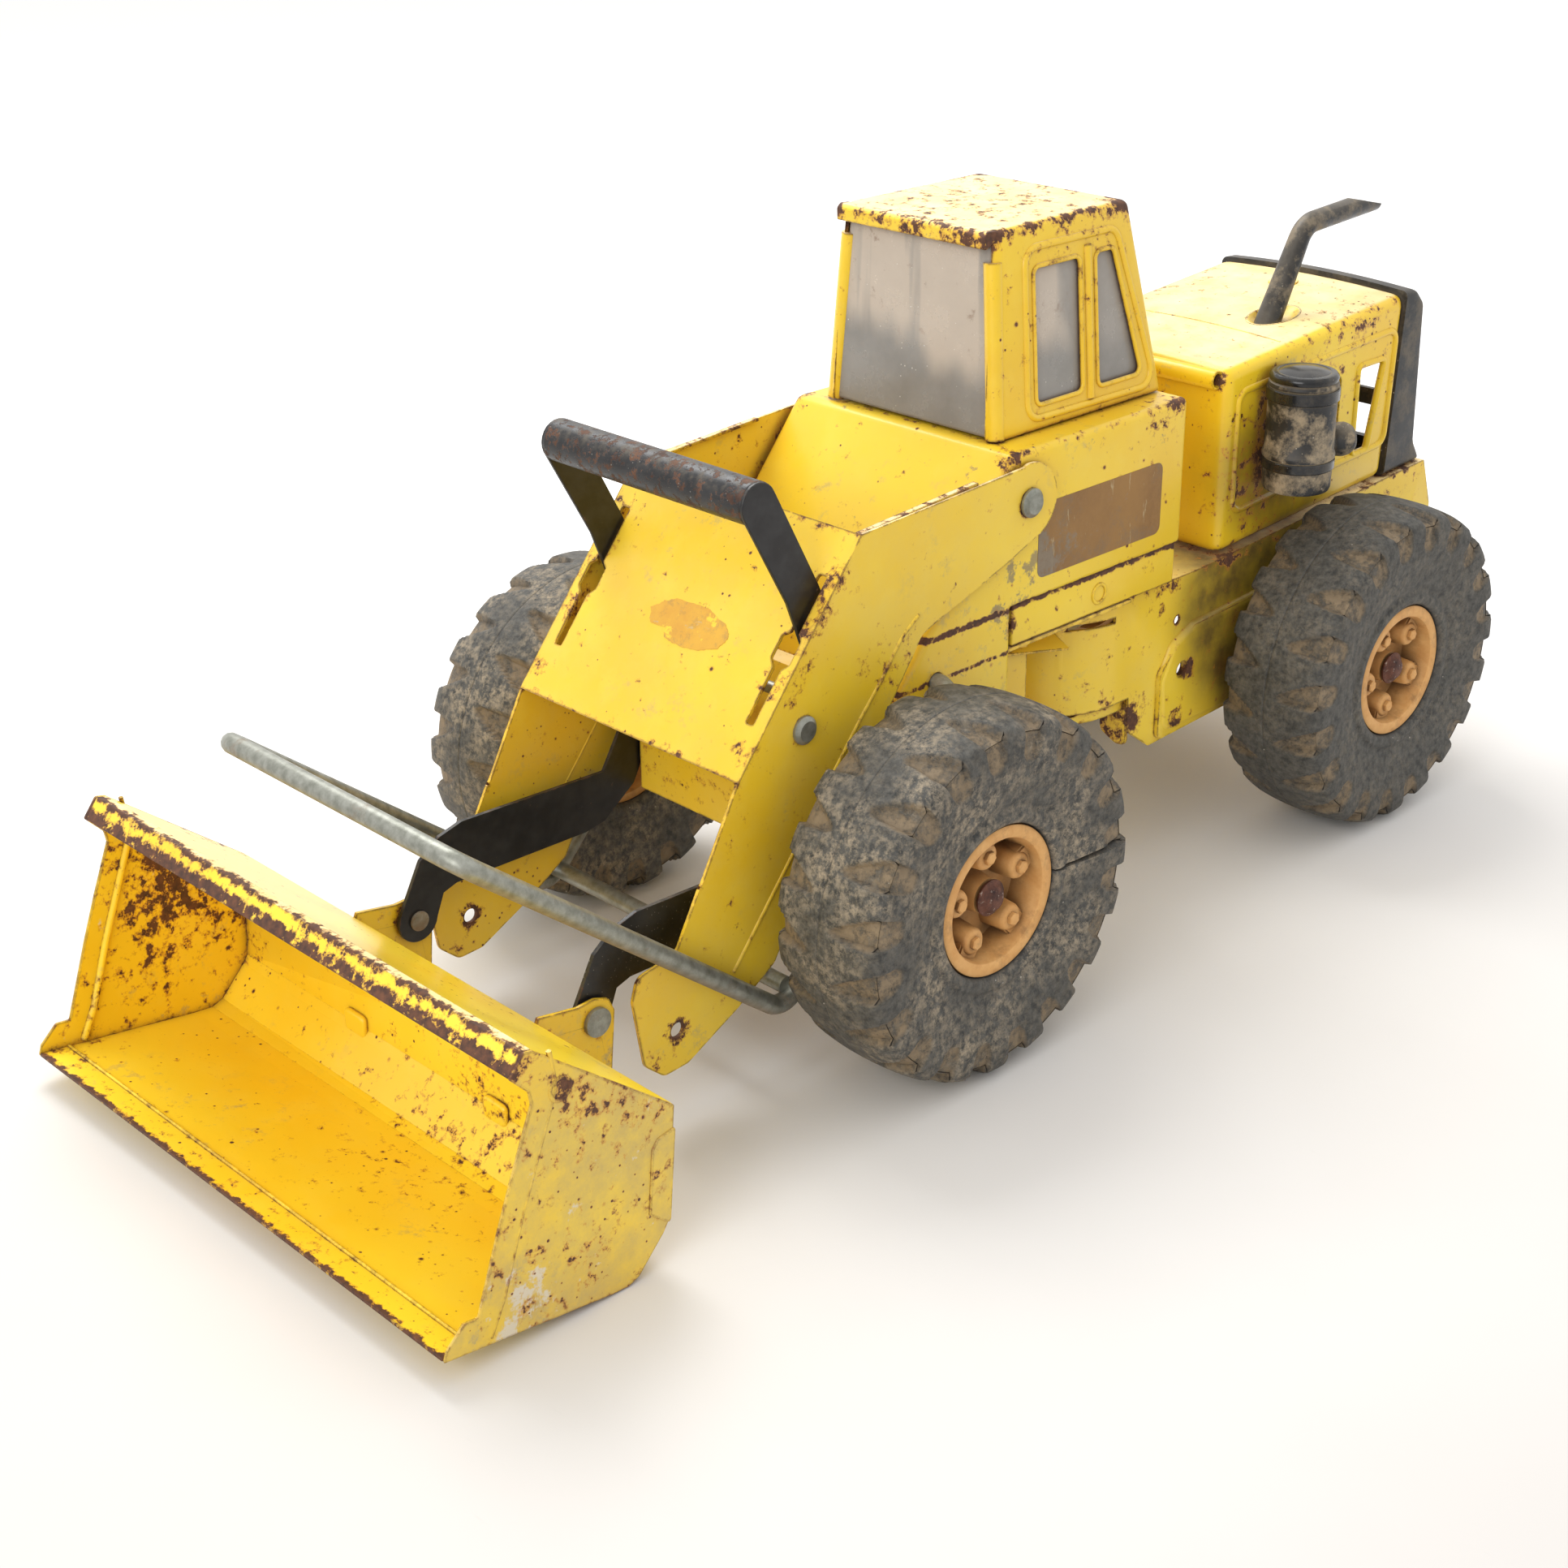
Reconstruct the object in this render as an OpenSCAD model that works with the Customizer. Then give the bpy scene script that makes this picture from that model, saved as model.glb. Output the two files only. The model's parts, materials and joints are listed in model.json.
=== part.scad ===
// Articulated toy wheel loader in pressed steel, bucket unpinned from its arms.
// X is the width (the loader's own left is +X), the bucket faces -Y, Z is up, the floor is z = 0.
// Every length is in millimetres.

/* [Wheels] */
// Outside radius of a tyre
tyre_r = 66; // [50:0.5:80]
// Width of a tyre
tyre_w = 46; // [30:1:60]
// Distance from the front axle to the rear axle
wheelbase = 260; // [220:1:300]
// Centre of a front wheel from the middle plane
front_track = 93.5; // [85:0.5:100]
// Centre of a rear wheel from the middle plane
rear_track = 76.5; // [74:0.5:100]
// Radius of the round seat the tyre shares with its hub
hub_r = 27; // [22:0.5:32]
// Radius of an axle rod
axle_r = 2.5; // [2:0.1:4]
// Number of hub bolts
lug_count = 5; // [3:1:8]

/* [Sheet metal] */
// Thickness of the pressed sheet
sheet = 1.2; // [0.8:0.1:2]
// Half width of the cab base, outside
base_half = 53.5; // [45:0.5:60]
// Half width of the rear frame, outside
rear_half = 47.5; // [40:0.5:50]
// Half width of the hood, outside
hood_half = 45.5; // [38:0.5:48]
// Half width of the loader arms, outside
arm_half = 56; // [52:0.5:62]

/* [Cab] */
// Height of the cab roof
roof_z = 262; // [230:1:280]
// Height of the cab base top, where the cab stands
deck_z = 190; // [170:1:200]
// Half width of the cab at its foot
cab_foot = 42; // [36:0.5:48]
// Half width of the cab roof
cab_top = 36; // [30:0.5:44]

/* [Bucket] */
// Half width of the bucket, outside
bucket_half = 115; // [95:1:125]
// Angle the bucket leans back on its heel, in degrees
bucket_lean = 7; // [0:0.5:15]

/* [Lift bail] */
// Radius of the bent wire of the lift bail
wire_r = 3.4; // [2:0.1:4]
// Radius of the straight bar under the arms
bar_r = 3.1; // [2:0.1:4]
// Half width of the bail, to the middle of the wire
bail_half = 63; // [60:0.5:65]

/* [Tilt gear] */
// Thickness of the tilt lever and of the tilt links
strap = 1.5; // [1:0.1:2.5]
// Inner face of the tilt lever legs from the middle plane
lever_in = 48; // [44:0.5:50]
// Radius of the open pivot holes at the foot of the arms
foot_hole_r = 2.6; // [2:0.1:4]

/* [Hidden] */
$fn = 48;
e = 0.01;
run = 0.06;                       // radial running clearance of a hinge
gap = 0.3;                        // side gap between moving sheets
axle_z = tyre_r;
lift = [75.5, 172];               // arm pivot, as y and z
tilt = [-34.2, 121];              // tilt lever pivot on the arms
crank = [-4.5, 113];              // pin between tilt lever and links
ear = [-121, 45];                 // pin between links and bucket
tongue_z = 117.6;                 // top of the plate over the articulation
foot = [-92.8, 32.5];             // open pivot at the foot of the arms
bail = [32, 117];                 // bail pivot in the cab base
steer_y = 140;                    // articulation pivot
bail_heel = [-51.8, 25.9];        // corner of the bail legs, before rounding
bail_bar = [-178, 126.5];         // hand bar of the bail
under_bar = [-49.8, 34.4];        // bar under the arms
side_gap = 1.1;                   // room for a rivet head between strap and link
link_in = lever_in - side_gap - strap;
arm_in = arm_half - sheet;
lip_y = -232.5;                   // front of the bucket
tail_y = 348.5;                   // back of the rear frame
middle_y = (lip_y + tail_y) / 2;
tyre_half = tyre_w / 2;
cap_x = 14.2;                     // inner face of an axle cap from the wheel centre
cap_bore = 2.4;                   // depth the axle enters its cap
axle_end = cap_x + cap_bore;
grip_r = 7.3;

yellow = [0.93, 0.73, 0.12];
black = [0.08, 0.08, 0.09];
steel = [0.62, 0.64, 0.62];
rubber = [0.13, 0.13, 0.13];
orange = [0.88, 0.58, 0.22];

// ---------- helpers ----------

// side views are drawn with the front axle at y = 0; the loader is then set with its middle at y = 0
module placed()
  translate([0, -middle_y, 0]) children();

// a side view in (y, z) made into a plate from x = x0, t thick toward +X
module plate(x0, t)
  translate([x0, 0, 0]) rotate([90, 0, 90]) linear_extrude(t) children();

// a side view as a prism across the middle plane
module across(half)
  plate(-half, 2 * half) children();

// the same shape on both sides
module both() {
  children();
  mirror([1, 0, 0]) children();
}

// a rod along X at a side-view point
module rod(p, r, x0, x1)
  translate([x0, p[0], p[1]]) rotate([0, 90, 0]) cylinder(r = r, h = x1 - x0);

// a straight strap between two side-view points
module strap2d(a, b, w) {
  d = b - a;
  translate(a) rotate(atan2(d[1], d[0])) translate([0, -w / 2]) square([norm(d), w]);
}

module disc2d(p, r)
  translate(p) circle(r = r);

// ---------- front chassis ----------

base_profile = [
  [69, deck_z], [166.5, deck_z], [166.5, 133], [70.5, 133], [70.5, 86],
  [11.5, 86], [11.5, 115], [23, 128.6], [30, 138]
];

module base_outline()
  offset(r = 2.5) offset(delta = -2.5) polygon(base_profile);

// the narrow strip below the cab base, set in by one sheet
strip_profile = [[72.4, 133.5], [165, 133.5], [165, tongue_z], [72.4, tongue_z]];

module cab_base() {
  color(yellow) placed()
  difference() {
    union() {
      across(base_half) base_outline();
      across(base_half - 1.5) polygon(strip_profile);
    }
    across(base_half - sheet) offset(delta = -sheet) base_outline();
    across(base_half - 1.5 - sheet) polygon([[73.6, 117], [163.8, 117], [163.8, 136], [73.6, 136]]);
    // open bottom ahead of the strip
    translate([-base_half + sheet, 12.7, 80]) cube([2 * (base_half - sheet), 56.6, 20]);
    // bail pivot holes
    rod(bail, wire_r + run, -base_half - 1, base_half + 1);
    // seats of the arm rivets
    rod(lift, 3, -base_half - 1, base_half + 1);
    // the base straddles the channel and the plate over the articulation
    translate([-frame_half, 0, 50]) cube([2 * frame_half, 72, tongue_z - 50]);
    translate([-base_half + sheet, 42, tongue_z - sheet]) cube([2 * (base_half - sheet), 29, sheet]);
    // round stamped ring on the strip
    both() plate(base_half - 1.9, 1) difference() {
      disc2d([120.5, 125], 4);
      disc2d([120.5, 125], 3);
    }
  }
}

cab_profile = [[72, deck_z], [165, deck_z], [147.5, roof_z], [75.5, roof_z]];

// tapered box of the cab: side view cut by a front view
module cab_block(inset, drop)
  intersection() {
    across(cab_foot + 2) offset(delta = -inset) polygon(cab_profile);
    translate([0, 200, 0]) rotate([90, 0, 0]) linear_extrude(150)
      polygon([
        [-cab_foot + inset, deck_z - 5], [cab_foot - inset, deck_z - 5],
        [cab_top - inset, roof_z - drop], [-cab_top + inset, roof_z - drop]
      ]);
  }

// the room inside the cab, t in from the outside
module cab_inside(t)
  intersection() {
    across(60) polygon([[72 + t, deck_z - 1], [165 - t, deck_z - 1],
      [147.5 - t, roof_z - t], [75.5 + t, roof_z - t]]);
    translate([0, 200, 0]) rotate([90, 0, 0]) linear_extrude(150)
      polygon([
        [-cab_foot + t, deck_z - 1], [cab_foot - t, deck_z - 1],
        [cab_top - t, roof_z - t], [-cab_top + t, roof_z - t]
      ]);
  }

module cab_shell() {
  color(yellow) placed()
  difference() {
    union() {
      cab_block(0, 0);
      // roof lip over the windshield
      translate([-cab_top, 73.2, roof_z - 5]) cube([2 * cab_top, 6, 5]);
    }
    // hollow, open at the foot
    cab_inside(sheet);
    // windshield opening
    translate([0, 82, 0]) rotate([90, 0, 0]) linear_extrude(14)
      polygon([
        [-cab_foot + 4, deck_z - 1], [cab_foot - 4, deck_z - 1],
        [cab_top - 3.4, roof_z - 5.2], [-cab_top + 3.4, roof_z - 5.2]
      ]);
    // two side panes on each side
    across(60) offset(r = 1.5) offset(delta = -1.5)
      polygon([[94, 199], [120.5, 199], [120.5, 247], [95, 247]]);
    across(60) offset(r = 1.5) offset(delta = -1.5)
      polygon([[127.5, 199], [153.2, 199], [138, 247], [127.5, 247]]);
    // rear window
    translate([0, 175, 0]) rotate([90, 0, 0]) linear_extrude(40)
      polygon([[-30, 202], [30, 202], [26, 250], [-26, 250]]);
  }
}

module cab_glazing() {
  color([0.5, 0.5, 0.5]) placed()
  difference() {
    cab_inside(sheet);
    cab_inside(sheet + 1);
    translate([-60, 60, deck_z - 2]) cube([120, 120, 2]);
  }
}

frame_half = 44.5; // half width of the channel
tray_half = 42.5;  // half width of the tray under the articulation
tray_r = 45.5;     // round end of that tray

module front_frame() {
  color(yellow) placed()
  difference() {
    union() {
      // channel with the nose plate, closed at the top
      difference() {
        across(frame_half) polygon([[-20, 62], [-20, 84], [6, 117.6], [90, 117.6], [90, 69], [40, 56], [-6, 56]]);
        across(frame_half - sheet)
          polygon([[-20 + sheet, 50], [-20 + sheet, 83.4], [6.4, 116.4], [88.8, 116.4], [88.8, 50]]);
      }
      // upper tongue over the rear frame, reaching the cab base walls
      translate([0, 0, tongue_z - sheet]) linear_extrude(sheet) union() {
        translate([-base_half + sheet, 42]) square([2 * (base_half - sheet), 29]);
        translate([-base_half + 1.5, 71 - e]) square([2 * (base_half - 1.5), 69]);
        translate([0, steer_y]) circle(r = 25);
      }
      // lower tongue under the rear frame
      translate([0, 0, 69]) linear_extrude(4) union() {
        translate([0, steer_y]) circle(r = tray_r);
        translate([-tray_half, 86]) square([2 * tray_half, 54]);
      }
    }
    // hollow the lower tongue into a shallow tray
    translate([0, 0, 68]) linear_extrude(1 + 4 - sheet) union() {
      translate([0, steer_y]) circle(r = tray_r - sheet);
      translate([-tray_half + sheet, 80]) square([2 * (tray_half - sheet), 60]);
    }
    // axle seats and pin seats
    rod([0, axle_z], axle_r, -60, 60);
    translate([0, steer_y, 60]) cylinder(r = 3, h = 70);
  }
}

module front_axle() {
  color(steel) placed() rod([0, axle_z], axle_r, -front_track - axle_end, front_track + axle_end);
}

module cap_shape() {
  difference() {
    union() {
      cylinder(r = 6.4, h = 1.2);
      translate([0, 0, 1.2 - e]) cylinder(r1 = 5.6, r2 = 3.2, h = 2.6);
    }
    translate([0, 0, -1]) cylinder(r = axle_r, h = 1 + cap_bore);
  }
}

module caps(track, y)
  both() translate([track + cap_x, y, axle_z]) rotate([0, 90, 0]) cap_shape();

module front_axle_caps() {
  color(steel) placed() caps(front_track, 0);
}

module rivet(p, r, x_in, x_out, head_r, head_h) {
  rod(p, r, x_in, x_out + e);
  rod(p, head_r, x_out, x_out + head_h * 0.45);
  translate([x_out + head_h * 0.45 - e, p[0], p[1]]) rotate([0, 90, 0])
    cylinder(r1 = head_r, r2 = head_r * 0.72, h = head_h * 0.55);
}

module lift_rivets() {
  color(steel) placed() both() union() {
    rivet(lift, 3, base_half - sheet - e, arm_half + gap, 5.2, 2.4);
    rod(lift, 4.6, base_half - sheet - 1, base_half - sheet);
    rod(lift, 4, base_half, arm_in - gap);
  }
}

module steer_pin() {
  color(steel) placed() translate([0, steer_y, 66]) union() {
    cylinder(r = 3, h = 53.4);
    cylinder(r = 6, h = 3 + 4 - sheet - e);
  }
}

// ---------- rear chassis ----------

// height of the rear frame's top plate, level at the nose and rising to the tail
function shelf_z(y) = 116 + max(0, y - 185) * 0.0545;

rear_profile = [
  [60, 74], [60, shelf_z(60)], [185, shelf_z(185)], [341, shelf_z(341)], [348.5, 104], [348.5, 62],
  [212, 52], [161, 49.7], [147, 60], [147, 74]
];

// seen from above: round nose about the steer pin
module rear_plan(inset) {
  translate([0, steer_y]) circle(r = rear_half - inset);
  translate([-rear_half + inset, steer_y]) square([2 * (rear_half - inset), 208.5 - inset]);
}

module rear_body(inset)
  intersection() {
    across(rear_half - inset) children();
    translate([0, 0, 40]) linear_extrude(100) rear_plan(inset);
  }

bulge_profile = [
  [164, 51.5], [164, 79], [172, 88], [184, 94.5], [335, 102], [335, 61], [212, 53.5]
];

module rear_frame() {
  color(yellow) placed()
  difference() {
    union() {
      rear_body(0) polygon(rear_profile);
      both() plate(rear_half - 0.5, 2.5) offset(r = 3) offset(delta = -3) polygon(bulge_profile);
    }
    // open underneath, with a floor only in the nose
    rear_body(sheet) polygon([
      [50, 74 + sheet], [50, 116 - sheet], [185, 116 - sheet], [348, shelf_z(348) - sheet],
      [348, 40], [146, 40], [146, 74], [168, 74], [168, 74 + sheet]
    ]);
    both() plate(rear_half - sheet - 0.5, 2.5 + 0.5) offset(r = 2) offset(delta = -4) polygon(bulge_profile);
    // open tail below the top plate
    translate([-rear_half + sheet + 4, 300, 40]) cube([2 * (rear_half - sheet - 4), 60, 62]);
    // steer pin and axle
    translate([0, steer_y, 60]) cylinder(r = 3 + run, h = 70);
    rod([wheelbase, axle_z], axle_r, -60, 60);
    // stamped holes and slot in the sides
    rod([175, 98.3], 1.8, -60, 60);
    rod([180, 77.5], 3.4, -60, 60);
    rod([111, 110.5], 1.6, 30, 60);
  }
}

module rear_axle() {
  color(steel) placed() rod([wheelbase, axle_z], axle_r, -rear_track - axle_end, rear_track + axle_end);
}

module rear_axle_caps() {
  color(steel) placed() caps(rear_track, wheelbase);
}

hood_back = [[318.5, 199.4], [312, shelf_z(312)]];

module hood_outline()
  polygon([[200, shelf_z(200)], [200, 190.5], hood_back[0], hood_back[1]]);

module hood() {
  color(yellow) placed()
  difference() {
    intersection() {
      across(hood_half) hood_outline();
      // rounded shoulders
      translate([0, 360, 0]) rotate([90, 0, 0]) linear_extrude(200)
        offset(r = 5) offset(delta = -5)
          polygon([[-hood_half, 100], [hood_half, 100], [hood_half, 202], [-hood_half, 202]]);
    }
    // hollow, open below and behind
    across(hood_half - sheet)
      polygon([[200 + sheet, 110], [200 + sheet, 189.4], [325, 198.7], [325, 110]]);
    // side openings
    across(60) offset(r = 2) offset(delta = -2)
      polygon([[288, 137.5], [300, 138], [307, 176], [289, 174.5]]);
    across(60) offset(r = 2) offset(delta = -2)
      polygon([[258, 136], [276, 137], [276.5, 173.5], [258, 172.5]]);
    // small hole and slit ahead of the air cleaner
    rod([209, 139.7], 2, -60, 60);
    across(60) polygon([[204.5, 170], [211, 170.8], [211, 172.2], [204.5, 171.4]]);
    // exhaust seat
    translate([stack_x - 5.8, 250, 180]) cube([11.6, 22, 30]);
    // air cleaner spigot
    rod([229, 160], 3, 40, 50);
  }
}

module grille() {
  color(black) placed()
  difference() {
    across(hood_half + 0.6) polygon([
      hood_back[1], hood_back[0], [317, 201.8], [325, 201.8], [332, 194], [334.5, 134], [341, shelf_z(341)]
    ]);
    // hollow behind the face
    across(hood_half - 2.4) polygon([
      [300, 196], [318, 197.6], [325, 198.4], [329.4, 192.8], [331.8, 133], [334, 126.8], [300, 124.6]
    ]);
    // four openings between the bars
    for (z = [131, 147, 163, 179])
      translate([-hood_half + 5, 322, z]) cube([2 * hood_half - 10, 20, 11]);
  }
}

// side view of the stack: foot on the hood, elbow, mouth
stack = [[257.5, 190], [279.5, 229.5], [327, 232]];
stack_x = 20;
stack_r = 4.3;     // radius of the upper pipe
stack_foot = 5.3;  // radius of the tapered lower pipe at its foot

module pipe(a, b, r_start, r_end, s0, s1)
  translate([stack_x, a[0], a[1]]) rotate([slope(a, b), 0, 0]) rotate([-90, 0, 0])
    translate([0, 0, s0]) cylinder(r1 = r_start, r2 = r_end, h = s1 - s0);

module exhaust_stack() {
  color(black) placed()
  difference() {
    union() {
      pipe(stack[0], stack[1], stack_foot, stack_r, 0, norm(stack[1] - stack[0]));
      translate([stack_x, stack[1][0], stack[1][1]]) sphere(r = stack_r + 0.2);
      pipe(stack[1], stack[2], stack_r, stack_r, 0, norm(stack[2] - stack[1]));
    }
    pipe(stack[1], stack[2], stack_r - 0.9, stack_r - 0.9, 12, 80);
    // slanted mouth
    translate([stack_x - 20, 304, 236.6]) rotate([-14, 0, 0]) cube([40, 40, 20]);
    // foot cut level with the inside of the hood
    translate([stack_x - 20, 230, 150]) cube([40, 60, 43]);
  }
}

module air_cleaner() {
  color(black) placed()
  union() {
    translate([59.8, 229, 138]) cylinder(r = 13, h = 47);
    translate([59.8, 229, 145]) cylinder(r = 13.6, h = 5);
    translate([59.8, 229, 178]) cylinder(r = 14, h = 6);
    translate([59.8, 229, 185 - e]) cylinder(r1 = 12.6, r2 = 8, h = 4);
    // side inlet
    translate([60, 238, 157]) rotate([-90, 0, 0]) cylinder(r = 6, h = 13);
    // spigot through the hood wall
    rod([229, 160], 3, 42, 50);
  }
}

// ---------- loader arms ----------

arm_profile = [
  [71.5, 186.6], [-7.5, 181.2], [-63.6, 111.4], [-80.8, 80.5], [-92, 60.4],
  [-108.6, 57.6], [-111.2, 50], [-107, 24.5], [-99, 17.4], [-88.5, 18],
  [-66, 29.4], [-48.6, 40.2], [-44.6, 47.2], [17.2, 131.6], [21.5, 138.2], [33, 142.4], [64, 152.4], [84, 160.4]
];

module arm_side2d()
  difference() {
    union() {
      polygon(arm_profile);
      disc2d(lift, 14.2);
    }
    disc2d(lift, 3 + run);
    disc2d(tilt, 2.5);
    disc2d(foot, foot_hole_r);
  }

// the strip behind the crease, running down the rear edge of a side sheet
strip_step = [
  [14, 142.5], [2.4, 128], [-7.6, 117], [-42.7, 74], [-67.4, 43.8], [-64, 24], [-40, 34], [30, 132], [24, 146]
];

// top sheet of the arms: a slope laid from the front edge up to the rear edge
module web_slope()
  translate([0, -63.6, 111.4]) rotate([atan2(69.8, 56.1), 0, 0]) children();

module slots2d()
  both() union() {
    translate([lever_in - 1.1, 19]) square([3.7, 54]);
    translate([lever_in - 3.6, 40]) offset(r = 1) offset(delta = -1) square([8, 11]);
  }

module loader_arms() {
  color(yellow) placed()
  union() {
    // side sheets, the rear strip of each stamped in
    both() difference() {
      plate(arm_in, sheet) arm_side2d();
      plate(arm_half - 0.5, 1) polygon(strip_step);
    }
    // web with the two lever slots
    web_slope() difference() {
      translate([-arm_in, 0, -sheet]) cube([2 * arm_in, 89.6, sheet]);
      translate([0, 0, -3]) linear_extrude(6) slots2d();
    }
    // folded hems over the top edge of each side
    both() plate(arm_in - 2.4, 2.4 + e)
      polygon([[50, 185.1], [-7.2, 181.2], [-7.1, 180], [50, 183.9]]);
  }
}

module tilt_rivets() {
  color(steel) placed() both() union() {
    rivet(tilt, 2.5, lever_in - 0.8, arm_half, 4.9, 2.3);
    rod(tilt, 4.4, lever_in - 0.9, lever_in - 0.2);
    rod(tilt, 4, lever_in + strap + gap, arm_in);
  }
}

// ---------- tilt lever, links ----------

leg_top = [-46, 200];
leg_foot = [-7, 118];

module lever_leg2d()
  difference() {
    union() {
      strap2d(leg_top, leg_foot, 15);
      hull() {
        disc2d(tilt, 9);
        disc2d(crank, 8);
        disc2d(leg_foot, 7.5);
      }
    }
    disc2d(tilt, 2.5 + run);
    disc2d(crank, 2.2 + run);
  }

module tilt_lever() {
  color(black) placed()
  union() {
    both() plate(lever_in, strap) lever_leg2d();
    // rolled grip, open underneath
    difference() {
      rod([-46.4, 198.6], grip_r, -lever_in - strap, lever_in + strap);
      rod([-46.4, 198.6], grip_r - strap, -lever_in, lever_in);
      translate([-lever_in, -80, 180]) rotate([0, 0, 0]) cube([2 * lever_in, 35, 14]);
    }
  }
}

link_points = [[-4.5, 113], [-29.5, 70], [-104, 63], [-121, 45]];

module link2d()
  difference() {
    union() {
      polygon([
        [-11.6, 117.2], [2.6, 109], [-16, 77], [-22.6, 64.6], [-37, 54], [-46, 52.4], [-104, 53.4],
        [-109.8, 51.6], [-114.2, 41], [-127.6, 49.6], [-118.4, 66.8], [-110, 73], [-100, 75.6],
        [-36.4, 73.4], [-30, 84]
      ]);
      disc2d(crank, 8.2);
      disc2d(ear, 8);
    }
    disc2d(crank, 2.2);
    disc2d(ear, 2.4 + run);
  }

module tilt_links() {
  color(black) placed() both() plate(link_in, strap) link2d();
}

module crank_pin() {
  color(steel) placed() rod(crank, 2.2, -lever_in - strap - 0.6, lever_in + strap + 0.6);
}

// ---------- bucket ----------

bucket_out = [
  [-232.5, 9.2], [-173, 0.6], [-166, 0], [-161, 1.8], [-150.8, 12.6], [-148.6, 16], [-145.2, 54.6],
  [-195, 94.6], [-198.4, 95.4], [-203.6, 88.8]
];

// open sheet following the outline, from the cutting lip round the back to the top lip
bucket_in = [
  [-202.4, 88.2], [-197.8, 93.4], [-195.6, 93.4], [-146.5, 54], [-149.8, 16.3], [-151.8, 13.3],
  [-161.7, 2.8], [-166.2, 1.2], [-173, 1.8], [-232.4, 10.4]
];

inner_half = bucket_half - sheet;

module bucket_shell() {
  color(yellow) placed() across(inner_half) polygon(concat(bucket_out, bucket_in));
}

side_front = [
  [-203.6, 88.8], [-197.4, 82], [-196.8, 78], [-204.2, 60.3], [-210.4, 44.4], [-219.9, 18], [-224.9, 18.6],
  [-231.5, 12.5], [-232.5, 9.2]
];

module bucket_side2d()
  polygon(concat(
    [[-173, 0.6], [-166, 0], [-161, 1.8], [-150.8, 12.6], [-148.6, 16], [-145.2, 54.6], [-195, 94.6], [-198.4, 95.4]],
    side_front
  ));

module bucket_sides() {
  color(yellow) placed() both() union() {
    plate(inner_half, sheet) bucket_side2d();
  }
}

bracket_hole = [-124.5, 20.6];

module bracket2d()
  difference() {
    polygon([
      [-145.7, 50.4], [-143.6, 55.4], [-128, 52.6], [-121, 53], [-115.4, 51], [-113.2, 46], [-116, 18],
      [-119, 13], [-125, 11.4], [-147, 13.8]
    ]);
    disc2d(ear, 2.4);
    disc2d(bracket_hole, foot_hole_r);
  }

module bucket_brackets() {
  color(yellow) placed()
  both() difference() {
    plate(lever_in, strap) bracket2d();
    // keep clear of the leaning back sheet
    across(60) polygon(bucket_out);
  }
}

module ear_rivets() {
  color(steel) placed() both() union() {
    rod(ear, 2.4, link_in - 0.4, lever_in + strap + 0.5);
    rod(ear, 5, lever_in + strap, lever_in + strap + 1.6);
    rod(ear, 3.6, link_in - 1, link_in - 0.2);
  }
}

// ---------- lift bail ----------

// slope of the side-view line from a to b
function slope(a, b) = atan2(b[1] - a[1], b[0] - a[0]);

// a quarter bend at side-view corner p, from the X direction into a leg that leaves p at angle a
module side_turn(p, a, r)
  translate([0, p[0], p[1]]) rotate([a, 0, 0]) translate([bail_half - r, r, 0])
    rotate([0, 0, -90]) rotate_extrude(angle = 90) translate([r, 0]) circle(r = bend_wire_r);

// a straight leg that leaves p at angle a, from s0 to s1 along it
module leg(p, a, s0, s1)
  translate([bail_half, p[0], p[1]]) rotate([a, 0, 0]) rotate([-90, 0, 0])
    translate([0, 0, s0]) cylinder(r = wire_r, h = s1 - s0);

turn_r = 9;    // bend radius at the hand bar and at the heel
pivot_r = 6;   // bend radius beside the pivot
bend_wire_r = wire_r + 0.05; // the wire swells a little where it is bent
lap = 0.5;     // length a straight run reaches into a bend

module half_bail() {
  down = slope(bail, bail_heel);
  up = slope(bail_heel, bail_bar);
  half = (up - down - 180) / 2;           // half of the heel's inner corner
  lost = turn_r / tan(abs(half));
  rod(bail, wire_r, base_half - 4.5, bail_half - pivot_r + lap);
  side_turn(bail, down, pivot_r);
  leg(bail, down, pivot_r - lap, norm(bail_heel - bail) - lost + lap);
  // heel bend, in the side plane
  translate([bail_half, bail_heel[0], bail_heel[1]]) rotate([90, 0, 90])
    rotate(down + 180 + half) translate([turn_r / sin(abs(half)), 0, 0])
      rotate(90 + abs(half)) rotate_extrude(angle = 180 - 2 * abs(half)) translate([turn_r, 0]) circle(r = bend_wire_r);
  leg(bail_heel, up, lost - lap, norm(bail_bar - bail_heel) - turn_r + lap);
  side_turn(bail_bar, slope(bail_bar, bail_heel), turn_r);
}

module bail_wire() {
  color(steel) placed() union() {
    both() half_bail();
    rod(bail_bar, wire_r, -bail_half + turn_r - lap, bail_half - turn_r + lap);
  }
}

module bail_cross_bar() {
  color(steel) placed() rod(under_bar, bar_r, -bail_half + 0.5, bail_half - 0.5);
}

// ---------- wheels ----------

// half section of a tyre as radius and width, from the hub seat outward
tyre_half_section = [
  [hub_r, 17.6], [29.5, 20.4], [36, 20.6], [46, 22.4], [56, tyre_half], [61.2, tyre_half],
  [63.4, tyre_half - 3.6], [tyre_r - 0.9, 12], [tyre_r, 0]
];

tyre_section = concat(
  tyre_half_section,
  [[tyre_r - 0.9, -12], [63.4, -tyre_half + 3.6], [61.2, -tyre_half], [56, -tyre_half], [46, -22.4],
   [36, -20.6], [29.5, -20.4], [hub_r, -17.6]]
);

module tyre()
  color(rubber) placed() rotate([0, 90, 0]) rotate_extrude() polygon(tyre_section);

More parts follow.
